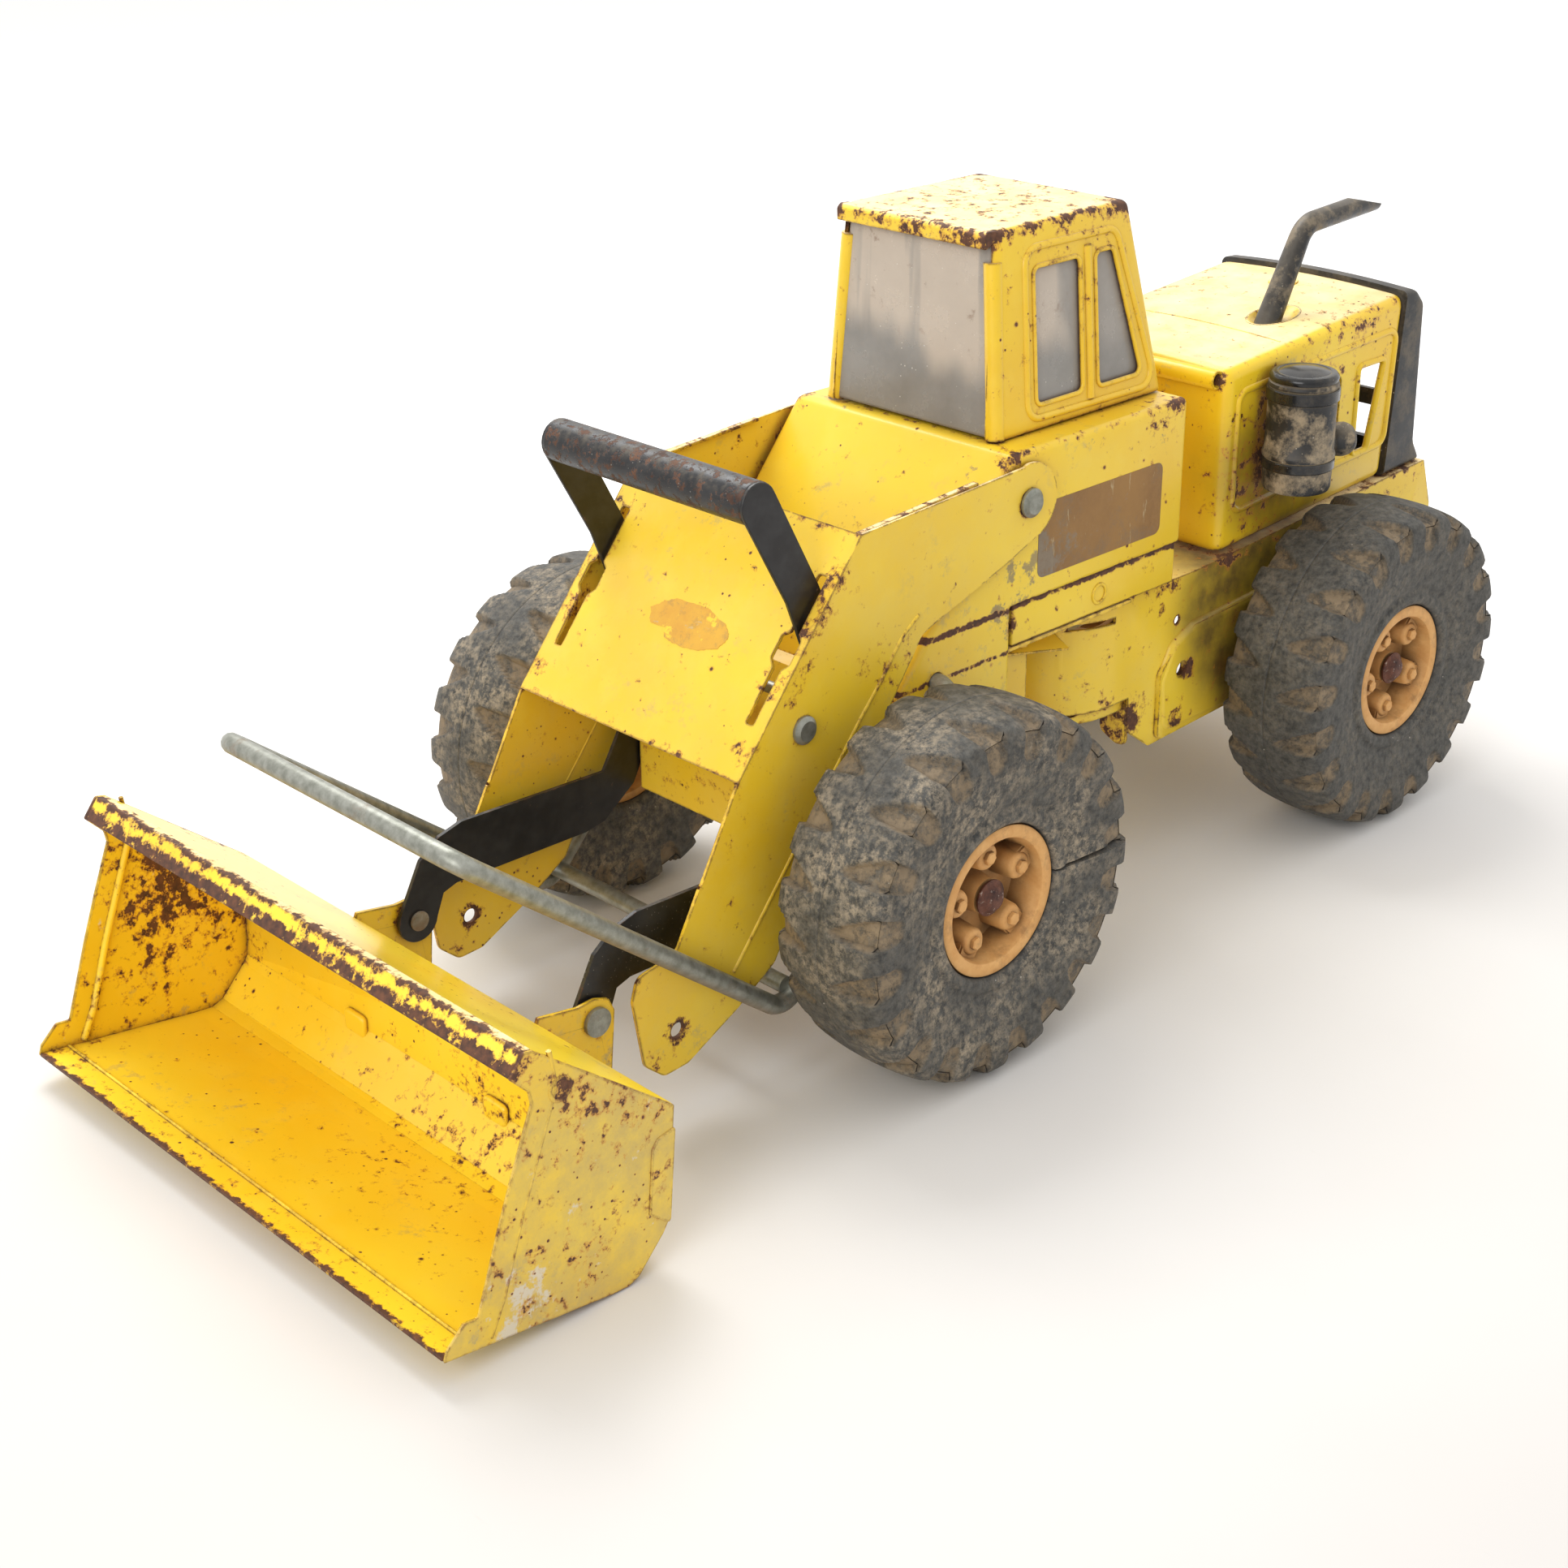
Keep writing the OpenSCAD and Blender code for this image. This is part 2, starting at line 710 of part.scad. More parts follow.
module hub() {
  color(orange) placed() rotate([0, 90, 0])
  difference() {
    union() {
      // rim barrel, stepped flange and web
      difference() {
        translate([0, 0, -17.6]) cylinder(r = hub_r, h = 36.4);
        translate([0, 0, -18]) cylinder(r = hub_r - 2.6, h = 22);
        translate([0, 0, 7]) cylinder(r1 = 17.5, r2 = 21, h = 12);
      }
      translate([0, 0, -19.2]) cylinder(r = 7, h = 33);
      // bosses round the web
      for (k = [0:lug_count - 1])
        rotate([0, 0, 90 + k * 360 / lug_count]) translate([14.8, 0, 5]) cylinder(r = 4.6, h = 9.4);
      for (k = [0:lug_count - 1])
        rotate([0, 0, 90 + k * 360 / lug_count]) translate([14.8, 0, 14]) cylinder(r = 2, h = 2, $fn = 6);
    }
    translate([0, 0, -30]) cylinder(r = axle_r + run, h = 60);
  }
}

module wheel_at(x, y)
  translate([x, y, axle_z]) children();

module right(x, y)
  translate([-x, y, axle_z]) mirror([1, 0, 0]) children();

module tyre_front_left() { wheel_at(front_track, 0) tyre(); }
module hub_front_left() { wheel_at(front_track, 0) hub(); }
module tyre_front_right() { right(front_track, 0) tyre(); }
module hub_front_right() { right(front_track, 0) hub(); }
module tyre_rear_left() { wheel_at(rear_track, wheelbase) tyre(); }
module hub_rear_left() { wheel_at(rear_track, wheelbase) hub(); }
module tyre_rear_right() { right(rear_track, wheelbase) tyre(); }
module hub_rear_right() { right(rear_track, wheelbase) hub(); }

cab_base();
cab_shell();
cab_glazing();
front_frame();
front_axle();
front_axle_caps();
lift_rivets();
steer_pin();
rear_frame();
rear_axle();
rear_axle_caps();
hood();
grille();
exhaust_stack();
air_cleaner();
loader_arms();
tilt_rivets();
tilt_lever();
tilt_links();
crank_pin();
bucket_shell();
bucket_sides();
bucket_brackets();
ear_rivets();
bail_wire();
bail_cross_bar();
tyre_front_left();
hub_front_left();
tyre_front_right();
hub_front_right();
tyre_rear_left();
hub_rear_left();
tyre_rear_right();
hub_rear_right();
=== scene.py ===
import json
import math

import bmesh
import bpy
from mathutils import Euler, Matrix, Vector, noise


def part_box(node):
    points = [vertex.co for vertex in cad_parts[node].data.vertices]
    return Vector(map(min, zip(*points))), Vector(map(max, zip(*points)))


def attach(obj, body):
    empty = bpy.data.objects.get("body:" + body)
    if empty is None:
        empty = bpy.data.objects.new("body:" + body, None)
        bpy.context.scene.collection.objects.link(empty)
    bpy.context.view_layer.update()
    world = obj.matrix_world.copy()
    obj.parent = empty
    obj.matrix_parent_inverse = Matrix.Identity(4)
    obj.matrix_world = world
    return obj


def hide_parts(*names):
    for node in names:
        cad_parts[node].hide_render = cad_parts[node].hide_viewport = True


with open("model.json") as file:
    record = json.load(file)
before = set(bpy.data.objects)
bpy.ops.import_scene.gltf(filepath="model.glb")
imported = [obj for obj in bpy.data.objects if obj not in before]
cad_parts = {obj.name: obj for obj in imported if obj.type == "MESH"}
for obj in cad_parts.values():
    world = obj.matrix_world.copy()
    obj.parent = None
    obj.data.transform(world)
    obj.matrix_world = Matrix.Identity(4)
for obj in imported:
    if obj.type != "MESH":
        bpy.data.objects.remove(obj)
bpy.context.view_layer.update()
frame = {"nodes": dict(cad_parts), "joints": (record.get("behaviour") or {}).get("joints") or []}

MM = 0.001
JOINT = {j["name"]: j for j in frame["joints"]}
AXLE = Vector(JOINT["roll_front_left"]["pos_m"])
AXLE_Y = AXLE.y / MM  # side views below are drawn with the front axle at y = 0
SHEET = 1.2


def place(x, y, z):
    """A point of the side view, in mm from the front axle, as metres in the row frame."""
    return Vector((x, y + AXLE_Y, z)) * MM

# ---------------------------------------------------------------- meshes


def add_object(name, data):
    obj = bpy.data.objects.new(name, data)
    bpy.context.scene.collection.objects.link(obj)
    return obj


def mesh_object(name, bm, outward=True):
    if outward:
        bmesh.ops.recalc_face_normals(bm, faces=bm.faces)
    mesh = bpy.data.meshes.new(name)
    bm.to_mesh(mesh)
    bm.free()
    return add_object(name, mesh)


def smooth(obj, angle=40):
    obj.data.shade_smooth()
    obj.data.set_sharp_from_angle(angle=math.radians(angle))
    return obj


def bake_modifiers(obj):
    """Replaces the mesh with what its modifiers make of it."""
    graph = bpy.context.evaluated_depsgraph_get()
    made = bpy.data.meshes.new_from_object(obj.evaluated_get(graph))
    obj.modifiers.clear()
    obj.data = made
    return obj


def dress(obj, material, body, *nodes):
    """Gives a piece its material and its body, and hides the CAD nodes it stands for."""
    obj.data.materials.clear()
    obj.data.materials.append(material)
    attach(obj, body)
    if nodes:
        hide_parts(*nodes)
    return obj


def fillet(points, radius, steps=5, closed=True):
    """Rounds the corners of a 2-D outline."""
    out = []
    count = len(points)
    for i, p in enumerate(points):
        p = Vector(p)
        if not closed and i in (0, count - 1):
            out.append(tuple(p))
            continue
        a = (Vector(points[i - 1]) - p)
        b = (Vector(points[(i + 1) % count]) - p)
        half = a.angle(b) / 2
        if half > math.radians(84):
            out.append(tuple(p))
            continue
        eaten = min(radius / math.tan(half), a.length * 0.48, b.length * 0.48)
        r = eaten * math.tan(half)
        a.normalize()
        b.normalize()
        centre = p + (a + b).normalized() * (r / math.sin(half))
        start, end = p + a * eaten - centre, p + b * eaten - centre
        turn = math.atan2(start.x * end.y - start.y * end.x, start.dot(end))
        for k in range(steps + 1):
            t = turn * k / steps
            out.append((
                centre.x + start.x * math.cos(t) - start.y * math.sin(t),
                centre.y + start.x * math.sin(t) + start.y * math.cos(t),
            ))
    return out


def arc(centre, radius, start, end, steps=12):
    return [
        (centre[0] + radius * math.cos(math.radians(start + (end - start) * k / steps)),
         centre[1] + radius * math.sin(math.radians(start + (end - start) * k / steps)))
        for k in range(steps + 1)
    ]


def turns(count):
    return [2 * math.pi * k / count for k in range(count)]


def oval(x, y, a, b, count):
    return [(x + a * math.cos(t), y + b * math.sin(t)) for t in turns(count)]


def around(count):
    """Each place on a ring, with the next one."""
    return [(i, (i + 1) % count) for i in range(count)]


def skin(bm, rings, joined=False, closed=True):
    """Quads between neighbouring rings. joined: the last ring meets the first; closed: each ring does so itself."""
    for a, b in around(len(rings))[:None if joined else -1]:
        for i, j in around(len(rings[0]))[:None if closed else -1]:
            corners = rings[a][i], rings[a][j], rings[b][j], rings[b][i]
            if corners[0].co != corners[3].co or corners[1].co != corners[2].co:
                bm.faces.new(corners)


def slab(near, far):
    """A closed solid between two outlines of points in metres."""
    bm = bmesh.new()
    rings = [[bm.verts.new(point) for point in outline] for outline in (near, far)]
    for ring in rings:
        bm.faces.new(ring)
    skin(bm, rings)
    bmesh.ops.recalc_face_normals(bm, faces=bm.faces)
    return bm


def full_width(z):
    return 1


def prism(outline, x0, x1, width_at=full_width):
    """A side-view outline as a solid between x0 and x1, both in mm. width_at(z) narrows it."""
    return slab(*([place(x * width_at(z), y, z) for y, z in outline] for x in (x0, x1)))


def prism_y(outline, y0, y1):
    """A front-view outline of (x, z) points in mm as a solid between y0 and y1."""
    return slab(*([place(x, y, z) for x, z in outline] for y in (y0, y1)))


def prism_z(outline, z0, z1):
    """A plan outline of (x, y) points in mm as a solid between z0 and z1."""
    return slab(*([place(x, y, z) for x, y in outline] for z in (z0, z1)))


def bore(centre, radius, steps, x0=-60, x1=60):
    """A cutter along x, through both sides unless x0 and x1 say otherwise."""
    return prism(arc(centre, radius, 0, 360, steps)[:-1], x0, x1)


def cut(obj, cutters):
    """Takes the cutter solids out of obj."""
    made = []
    for bm in cutters:
        tool = mesh_object("cutter", bm)
        mod = obj.modifiers.new("cut", "BOOLEAN")
        mod.operation = "DIFFERENCE"
        mod.solver = "EXACT"
        mod.object = tool
        made.append(tool)
    bake_modifiers(obj)
    for tool in made:
        bpy.data.objects.remove(tool)
    return obj


def hollow(obj, thickness=SHEET):
    mod = obj.modifiers.new("sheet", "SOLIDIFY")
    mod.thickness = thickness * MM
    mod.offset = -1
    mod.use_even_offset = True
    return bake_modifiers(obj)


def soften(obj, width=0.35, segments=2, angle=35):
    """Rounds the sharp edges of a finished mesh."""
    weld = obj.modifiers.new("weld", "WELD")
    weld.merge_threshold = 1e-6
    mod = obj.modifiers.new("edges", "BEVEL")
    mod.width = width * MM
    mod.segments = segments
    mod.limit_method = "ANGLE"
    mod.angle_limit = math.radians(angle)
    mod.use_clamp_overlap = True
    mod.harden_normals = False
    return obj


def round_edges(bm, edges, radius, segments=4, clamp=True):
    bmesh.ops.bevel(bm, geom=edges, offset=radius * MM, segments=segments, profile=0.5, affect="EDGES",
                    clamp_overlap=clamp)


def arch(bm, cuts, half, rise, above):
    """Cuts a mesh at these x and lifts what is above a height into a shallow arch."""
    for x in cuts:
        bmesh.ops.bisect_plane(
            bm, geom=bm.verts[:] + bm.edges[:] + bm.faces[:], plane_co=(x * MM, 0, 0), plane_no=(1, 0, 0)
        )
    for v in bm.verts:
        if v.co.z > above:
            v.co.z += rise * MM * (1 - (v.co.x / (half * MM)) ** 2)


def pressed_shell(name, outline, half, radius, is_open, width_at=full_width, crown=0.0, posts=0.0, thick=SHEET):
    """Thin pressed-steel box: a side-view outline across the width, with rounded folds and open sides."""
    bm = prism(outline, -half, half, width_at)
    if posts:
        front = place(0, 90, 0).y
        upright = [e for e in bm.edges if abs((e.verts[0].co - e.verts[1].co).normalized().z) > 0.9
                   and e.verts[0].co.y < front]
        round_edges(bm, upright, posts, 6, False)
    round_edges(bm, [e for e in bm.edges if e.calc_face_angle(0) > math.radians(20)], radius)
    bm.normal_update()
    gone = [f for f in bm.faces if is_open(f.normal, f.calc_center_median())]
    bmesh.ops.delete(bm, geom=gone, context="FACES")
    if crown:
        arch(bm, range(-36, 37, 12), half, crown, max(v.co.z for v in bm.verts) - 0.016)
    return smooth(hollow(mesh_object(name, bm, outward=False), thick), 30)


def revolve(name, profile, segments=64, closed=False):
    """A solid of revolution round the X axis from (radius, x) points, in mm, centred on the origin."""
    bm = bmesh.new()
    rings = [[bm.verts.new(Vector((x, r * math.cos(a), r * math.sin(a))) * MM) for r, x in profile]
             for a in turns(segments)]
    skin(bm, rings, True, closed)
    bmesh.ops.remove_doubles(bm, verts=bm.verts, dist=1e-7)
    return mesh_object(name, bm)


def tube(name, points, radius, material, body, cyclic=False, *nodes):
    """A round bar or bead along points in metres."""
    curve = bpy.data.curves.new(name, "CURVE")
    curve.dimensions = "3D"
    curve.bevel_depth = radius * MM
    curve.bevel_resolution = 4
    curve.use_fill_caps = True
    spline = curve.splines.new("POLY")
    spline.points.add(len(points) - 1)
    for point, co in zip(spline.points, points):
        point.co = (*co, 1)
    spline.use_cyclic_u = cyclic
    obj = add_object(name, curve)
    made = bpy.data.meshes.new_from_object(obj.evaluated_get(bpy.context.evaluated_depsgraph_get()))
    bpy.data.objects.remove(obj)
    bpy.data.curves.remove(curve)
    return dress(smooth(add_object(name, made), 60), material, body, *nodes)


def join(name, objs):
    """Several fresh meshes as one piece."""
    bm = bmesh.new()
    for obj in objs:
        obj.data.transform(obj.matrix_world)
        bm.from_mesh(obj.data)
        bpy.data.objects.remove(obj)
    return mesh_object(name, bm, outward=False)


def take_mesh(obj):
    """The mesh alone, to be used more than once."""
    mesh = obj.data
    bpy.data.objects.remove(obj)
    return mesh


def half_width(node):
    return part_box(node)[1].x / MM


HANDS = ((1, "left"), (-1, "right"))

# ---------------------------------------------------------------- materials


class Nodes:
    """Short calls for building a node tree; colour is what has been mixed so far."""

    def __init__(self, name):
        self.material = bpy.data.materials.new(name)
        self.material.use_nodes = True
        self.tree = self.material.node_tree
        self.tree.nodes.clear()
        self.shader = self.add("ShaderNodeBsdfPrincipled")
        self.add("ShaderNodeOutputMaterial", {0: self.shader.outputs[0]})
        where = self.add("ShaderNodeTexCoord").outputs
        self.at, self.normal = where["Object"], where["Normal"]
        self.colour = None

    def add(self, kind, feed=None, **values):
        node = self.tree.nodes.new(kind)
        for key, value in values.items():
            setattr(node, key, value)
        for socket, value in (feed or {}).items():
            self.put(node.inputs[socket], value)
        return node

    def put(self, socket, value):
        if isinstance(value, bpy.types.NodeSocket):
            self.tree.links.new(value, socket)
        else:
            socket.default_value = value

    def moved(self, offset, stretch=(1, 1, 1)):
        return self.add("ShaderNodeMapping", {"Vector": self.at, "Location": offset, "Scale": stretch}).outputs[0]

    def noise(self, scale, detail=4, rough=0.55, stretch=(1, 1, 1), offset=0.0):
        at = self.moved((offset, offset * 1.7, offset * 0.6), stretch)
        feed = {"Vector": at, "Scale": scale, "Detail": detail, "Roughness": rough}
        return self.add("ShaderNodeTexNoise", feed).outputs["Fac"]

    def ramp(self, value, low, high, to_low=0.0, to_high=1.0, soft=False):
        feed = {"Value": value, "From Min": low, "From Max": high, "To Min": to_low, "To Max": to_high}
        return self.add("ShaderNodeMapRange", feed, interpolation_type="SMOOTHSTEP" if soft else "LINEAR").outputs[0]

    def math(self, kind, *values):
        return self.add("ShaderNodeMath", dict(enumerate(values)), operation=kind).outputs[0]

    def times(self, a, b):
        return self.math("MULTIPLY", a, b)

    def plus(self, a, b):
        return self.math("ADD", a, b)

    def less(self, a, b):
        return self.math("SUBTRACT", a, b)

    def most(self, a, b):
        return self.math("MAXIMUM", a, b)

    def vector(self, kind, a, b):
        return self.add("ShaderNodeVectorMath", {0: a, 1: b}, operation=kind).outputs

    def axis(self, vector, name):
        return self.add("ShaderNodeSeparateXYZ", {0: vector}).outputs[name]

    def mix(self, factor, a, b):
        a, b = ((*c, 1) if isinstance(c, tuple) else c for c in (a, b))
        return self.add("ShaderNodeMix", {"Factor": factor, 6: a, 7: b}, data_type="RGBA").outputs[2]

    def coat(self, mask, tone):
        """Lays a tone over the colour where the mask is 1."""
        self.colour = self.mix(mask, self.colour, tone)

    def edges(self, radius, low=0.01, high=0.2):
        """1 on sharp edges and corners, 0 on flats."""
        bevel = self.add("ShaderNodeBevel", {"Radius": radius * MM}, samples=4).outputs[0]
        flat = self.add("ShaderNodeNewGeometry").outputs["Normal"]
        return self.ramp(self.less(1.0, self.vector("DOT_PRODUCT", bevel, flat)["Value"]), low, high)

    def facing_up(self, low, high):
        return self.ramp(self.axis(self.normal, "Z"), low, high, soft=True)

    def crevice(self, distance, low=0.35, high=0.8):
        """1 in corners and gaps, 0 in the open."""
        node = self.add("ShaderNodeAmbientOcclusion", {"Distance": distance * MM}, samples=4)
        return self.ramp(node.outputs["AO"], low, high, 1, 0)

    def specks(self, scale, share, size, amount=1.0, seed=0.0):
        """Positive inside small round specks, falling off outside; share of cells that hold one."""
        at = self.moved((seed, seed * 0.7, seed * 1.3))
        cell = self.add("ShaderNodeTexVoronoi", {"Vector": at, "Scale": scale}).outputs
        chance = self.add("ShaderNodeSeparateColor", {0: cell["Color"]}).outputs[0]
        return self.less(self.times(self.ramp(chance, 1 - share, 1.0, 0.0, size), amount), cell["Distance"])

    def near(self, kind, point, inner, outer, amount):
        """A stain: amount within inner mm of a point "p", a line along "x" or "y" or a level "z", 0 beyond outer."""
        keep = {"p": (1, 1, 1), "x": (0, 1, 1), "y": (1, 0, 1), "z": (0, 0, 1)}[kind]
        given = iter(point)
        centre = place(*(next(given) if kept else 0 for kept in keep))
        flat = self.at if kind == "p" else self.vector("MULTIPLY", self.at, keep)[0]
        gap = self.vector("DISTANCE", flat, tuple(a * b for a, b in zip(centre, keep)))["Value"]
        return self.ramp(gap, inner * MM, outer * MM, amount, 0.0, soft=True)

    def attribute(self, name):
        return self.add("ShaderNodeAttribute", attribute_name=name).outputs["Fac"]

    def bump(self, height, distance, strength=1.0):
        node = self.add("ShaderNodeBump", {"Strength": strength, "Distance": distance * MM, "Height": height})
        self.put(self.shader.inputs["Normal"], node.outputs[0])

    def finish(self, roughness, metallic=0.0):
        for socket, value in (("Base Color", self.colour), ("Roughness", roughness), ("Metallic", metallic)):
            self.put(self.shader.inputs[socket], value)
        return self.material


RUST_DARK = (0.055, 0.022, 0.012)
RUST = (0.15, 0.055, 0.022)
RUST_LIGHT = (0.58, 0.235, 0.03)


def yellow_paint(name, seed=0.0, chips=0.0, dust=0.0, spots=0.0, bleach_and_highlight_above=0.0, stains=(), dust_beyond=0.0,
                 scraped=None, edge=1.0, soot_and_shadow=(), grime=(0.66, 0.51, 0.20), dull=(0.86, 0.545, 0.014),
                 bright=(0.93, 0.655, 0.024)):
    """Old yellow enamel. chips: flaking on edges; spots: rust specks on flats; dust: dull film."""
    n = Nodes(name)
    broad = n.noise(11, 3, 0.5, offset=seed)
    fine = n.noise(75, 5, 0.62, offset=seed + 3)
    n.colour = n.mix(n.ramp(broad, 0.35, 0.65), dull, bright)
    n.coat(n.ramp(fine, 0.48, 0.75, 0, 0.25), (0.94, 0.72, 0.09))
    # dull film of dirt
    film = n.ramp(n.noise(28, 7, 0.72, offset=seed + 21), 0.40, 0.68, 0.25 * dust, dust)
    if dust_beyond:
        outside = n.ramp(n.math("ABSOLUTE", n.axis(n.at, "X")), (dust_beyond - 0.3) * MM, dust_beyond * MM)
        film = n.times(film, outside)
    n.coat(film, grime)
    # what faces up is paler: mostly a painted highlight from the overhead light, partly paint bleached and dulled by
    # dust
    bleach_and_highlight = n.times(n.facing_up(0.86, 0.99), n.ramp(fine, 0.3, 0.7, 0.45, 0.85))
    bleach_and_highlight = n.times(bleach_and_highlight, n.ramp(n.axis(n.at, "Z"), bleach_and_highlight_above * MM, (bleach_and_highlight_above + 8) * MM))
    n.coat(bleach_and_highlight, (0.97, 0.83, 0.53))
    # grey rubs and scratches
    rub = n.times(n.ramp(n.noise(95, 8, 0.75, offset=seed + 5), 0.56, 0.66),
                  n.ramp(n.noise(16, 2, 0.5, offset=seed + 6), 0.50, 0.64))
    n.coat(n.times(rub, 0.50 + dust * 0.3), (0.36, 0.30, 0.18))
    if scraped:
        at, tone = scraped
        worn = n.plus(n.noise(110, 8, 0.72, offset=seed + 8), n.near("p", at, 3, 26, 0.16))
        n.coat(n.ramp(worn, 0.64, 0.70, 0, 0.8), tone)
    # soot and painted shadow: dark patches round given points, such as round the air cleaner and between the frame and
    # the rear wheels
    for at, inner, outer, amount in soot_and_shadow:
        soot_and_shadow_veil = n.times(n.near("p", at, inner, outer, amount), n.ramp(fine, 0.3, 0.65, 0.65, 1.0))
        n.coat(soot_and_shadow_veil, (0.085, 0.05, 0.018))
    # painted shade and dirt: corners and gaps darkened by an ambient-occlusion mask, in a dirt brown
    gap = n.crevice(5.0)
    n.coat(n.times(gap, 0.72), (0.27, 0.115, 0.022))
    # rust: flaked edges, stains and specks
    patch = n.noise(205, 9, 0.72, offset=seed + 11)
    where = n.noise(40, 3, 0.5, offset=seed + 17)
    push = n.times(n.edges(1.3, 0.01, 0.12), n.ramp(where, 0.34, 0.62, 0.07 + 0.06 * edge, 0.235 * edge))
    push = n.plus(push, n.times(gap, 0.13))
    for kind, point, inner, outer, amount in stains:
        push = n.plus(push, n.near(kind, point, inner, outer, amount))
    level = n.plus(patch, push)
    halo = n.ramp(level, 0.615 - chips, 0.69 - chips, 0, 0.9)
    bare = n.ramp(level, 0.685 - chips, 0.70 - chips)
    dense = n.ramp(n.noise(24, 3, 0.6, offset=seed + 31), 0.38, 0.66, 0.35, 1.0)
    dense = n.times(dense, n.ramp(patch, 0.3, 0.7, 0.45, 1.45))
    for scale, share, size in ((130, 0.42 + spots, 0.15), (330, 0.34 + spots, 0.24)):
        speck = n.specks(scale, share, size, dense, seed)
        halo = n.most(halo, n.ramp(speck, -0.05, 0.02, 0, 0.75))
        bare = n.most(bare, n.ramp(speck, 0.015, 0.04))
    n.coat(halo, n.mix(n.ramp(fine, 0.4, 0.6), (0.40, 0.145, 0.02), RUST_LIGHT))
    iron = n.mix(n.ramp(n.noise(420, 4, 0.6, offset=seed), 0.35, 0.7), RUST_DARK, RUST)
    n.coat(bare, iron)
    rough = n.ramp(n.most(n.most(bare, film), bleach_and_highlight), 0, 1, 0.30, 0.78)
    n.bump(n.less(n.times(fine, 0.12), bare), 0.12, 0.5)
    n.shader.inputs["Coat Weight"].default_value = 0.10
    n.shader.inputs["Coat Roughness"].default_value = 0.2
    return n.finish(rough)


def black_enamel(name, worn=0.0):
    n = Nodes(name)
    fine = n.noise(120, 5, 0.6)
    n.colour = n.mix(n.ramp(fine, 0.4, 0.7), (0.006, 0.006, 0.007), (0.02, 0.02, 0.022))
    dust = n.times(n.facing_up(0.2, 0.95), n.ramp(n.noise(300, 4), 0.45, 0.65, 0, 0.5))
    n.coat(dust, (0.16, 0.13, 0.09))
    level = n.plus(n.noise(260, 8, 0.70, offset=4), n.times(n.edges(1.2), 0.12))
    bare = n.ramp(level, 0.66 - worn, 0.72 - worn, 0, 0.85)
    n.coat(bare, n.mix(n.ramp(fine, 0.4, 0.6), RUST_DARK, (0.16, 0.07, 0.035)))
    n.coat(n.ramp(n.specks(700, 0.35, 0.22), 0.0, 0.05, 0, 0.6), (0.30, 0.28, 0.25))
    n.bump(n.less(1.0, bare), 0.15, 0.6)
    return n.finish(n.ramp(n.most(bare, dust), 0, 1, 0.36, 0.85))


def dusty_plastic(name, dust_amount=0.5, gloss=0.45, grit=0.7):
    """Black plastic with tan dust in patches and along its ledges."""
    n = Nodes(name)
    fine = n.noise(90, 6, 0.65)
    n.colour = n.mix(n.ramp(fine, 0.4, 0.7), (0.008, 0.009, 0.011), (0.028, 0.03, 0.033))
    film = n.ramp(n.noise(62, 7, 0.74, offset=2), 0.46, 0.60, 0, dust_amount)
    up = n.times(n.facing_up(0.0, 1.0), dust_amount * 0.6)
    dust = n.most(film, n.times(up, n.ramp(fine, 0.3, 0.6, 0.3, 1)))
    dust = n.most(dust, n.times(n.crevice(2.5), dust_amount))
    tan = n.mix(n.noise(210, 5, 0.7, offset=7), (0.24, 0.18, 0.11), (0.50, 0.41, 0.28))
    n.coat(dust, tan)
    n.coat(n.ramp(n.specks(480, 0.30, 0.20), 0.0, 0.05, 0, grit), (0.42, 0.37, 0.30))
    n.bump(n.plus(fine, n.times(dust, 0.5)), 0.08, 0.5)
    return n.finish(n.ramp(dust, 0, 1, gloss, 0.9))


def rubber(name, bloom=1.0):
    """Old rubber: pale bloom on the crowns, tan mud in the pockets, painted shade in the creases."""
    n = Nodes(name)
    fine = n.noise(330, 8, 0.74)
    broad = n.noise(34, 5, 0.6, offset=3)
    n.colour = n.mix(n.ramp(fine, 0.36, 0.66), (0.022, 0.023, 0.022), (0.105, 0.100, 0.088))
    pale = n.times(n.ramp(n.noise(290, 9, 0.80, offset=9), 0.45, 0.60),
                   n.ramp(broad, 0.42, 0.62, 0.12 * bloom, bloom))
    n.coat(pale, (0.34, 0.28, 0.20))
    mud = n.times(n.attribute("pocket"), n.ramp(n.noise(170, 9, 0.80, offset=5), 0.42, 0.54, 0.08, 0.92))
    n.coat(mud, n.mix(n.noise(260, 5, 0.7, offset=8), (0.15, 0.105, 0.06), (0.36, 0.27, 0.165)))
    # painted shade: creases and pocket floors darkened by an ambient-occlusion mask
    n.coat(n.times(n.crevice(5.0, 0.45, 0.85), 0.75), (0.012, 0.011, 0.010))
    n.coat(n.ramp(n.specks(300, 0.20, 0.13), 0.0, 0.04, 0, 0.6), (0.50, 0.46, 0.40))
    n.bump(n.plus(fine, n.times(mud, 0.6)), 0.25, 0.9)
    return n.finish(n.ramp(pale, 0, 1, 0.66, 0.9))


def hub_plastic(name):
    n = Nodes(name)
    fine = n.noise(160, 6, 0.65)
    n.colour = n.mix(n.ramp(fine, 0.3, 0.7), (0.60, 0.29, 0.08), (0.74, 0.42, 0.15))
    # painted shade: recesses round the lugs and rim darkened by an ambient-occlusion mask
    n.coat(n.times(n.crevice(9, 0.25, 0.85), 0.85), (0.07, 0.035, 0.015))
    n.coat(n.ramp(n.noise(90, 6, 0.7, offset=6), 0.55, 0.72, 0, 0.6), (0.22, 0.11, 0.04))
    n.bump(fine, 0.1, 0.5)
    return n.finish(0.62)


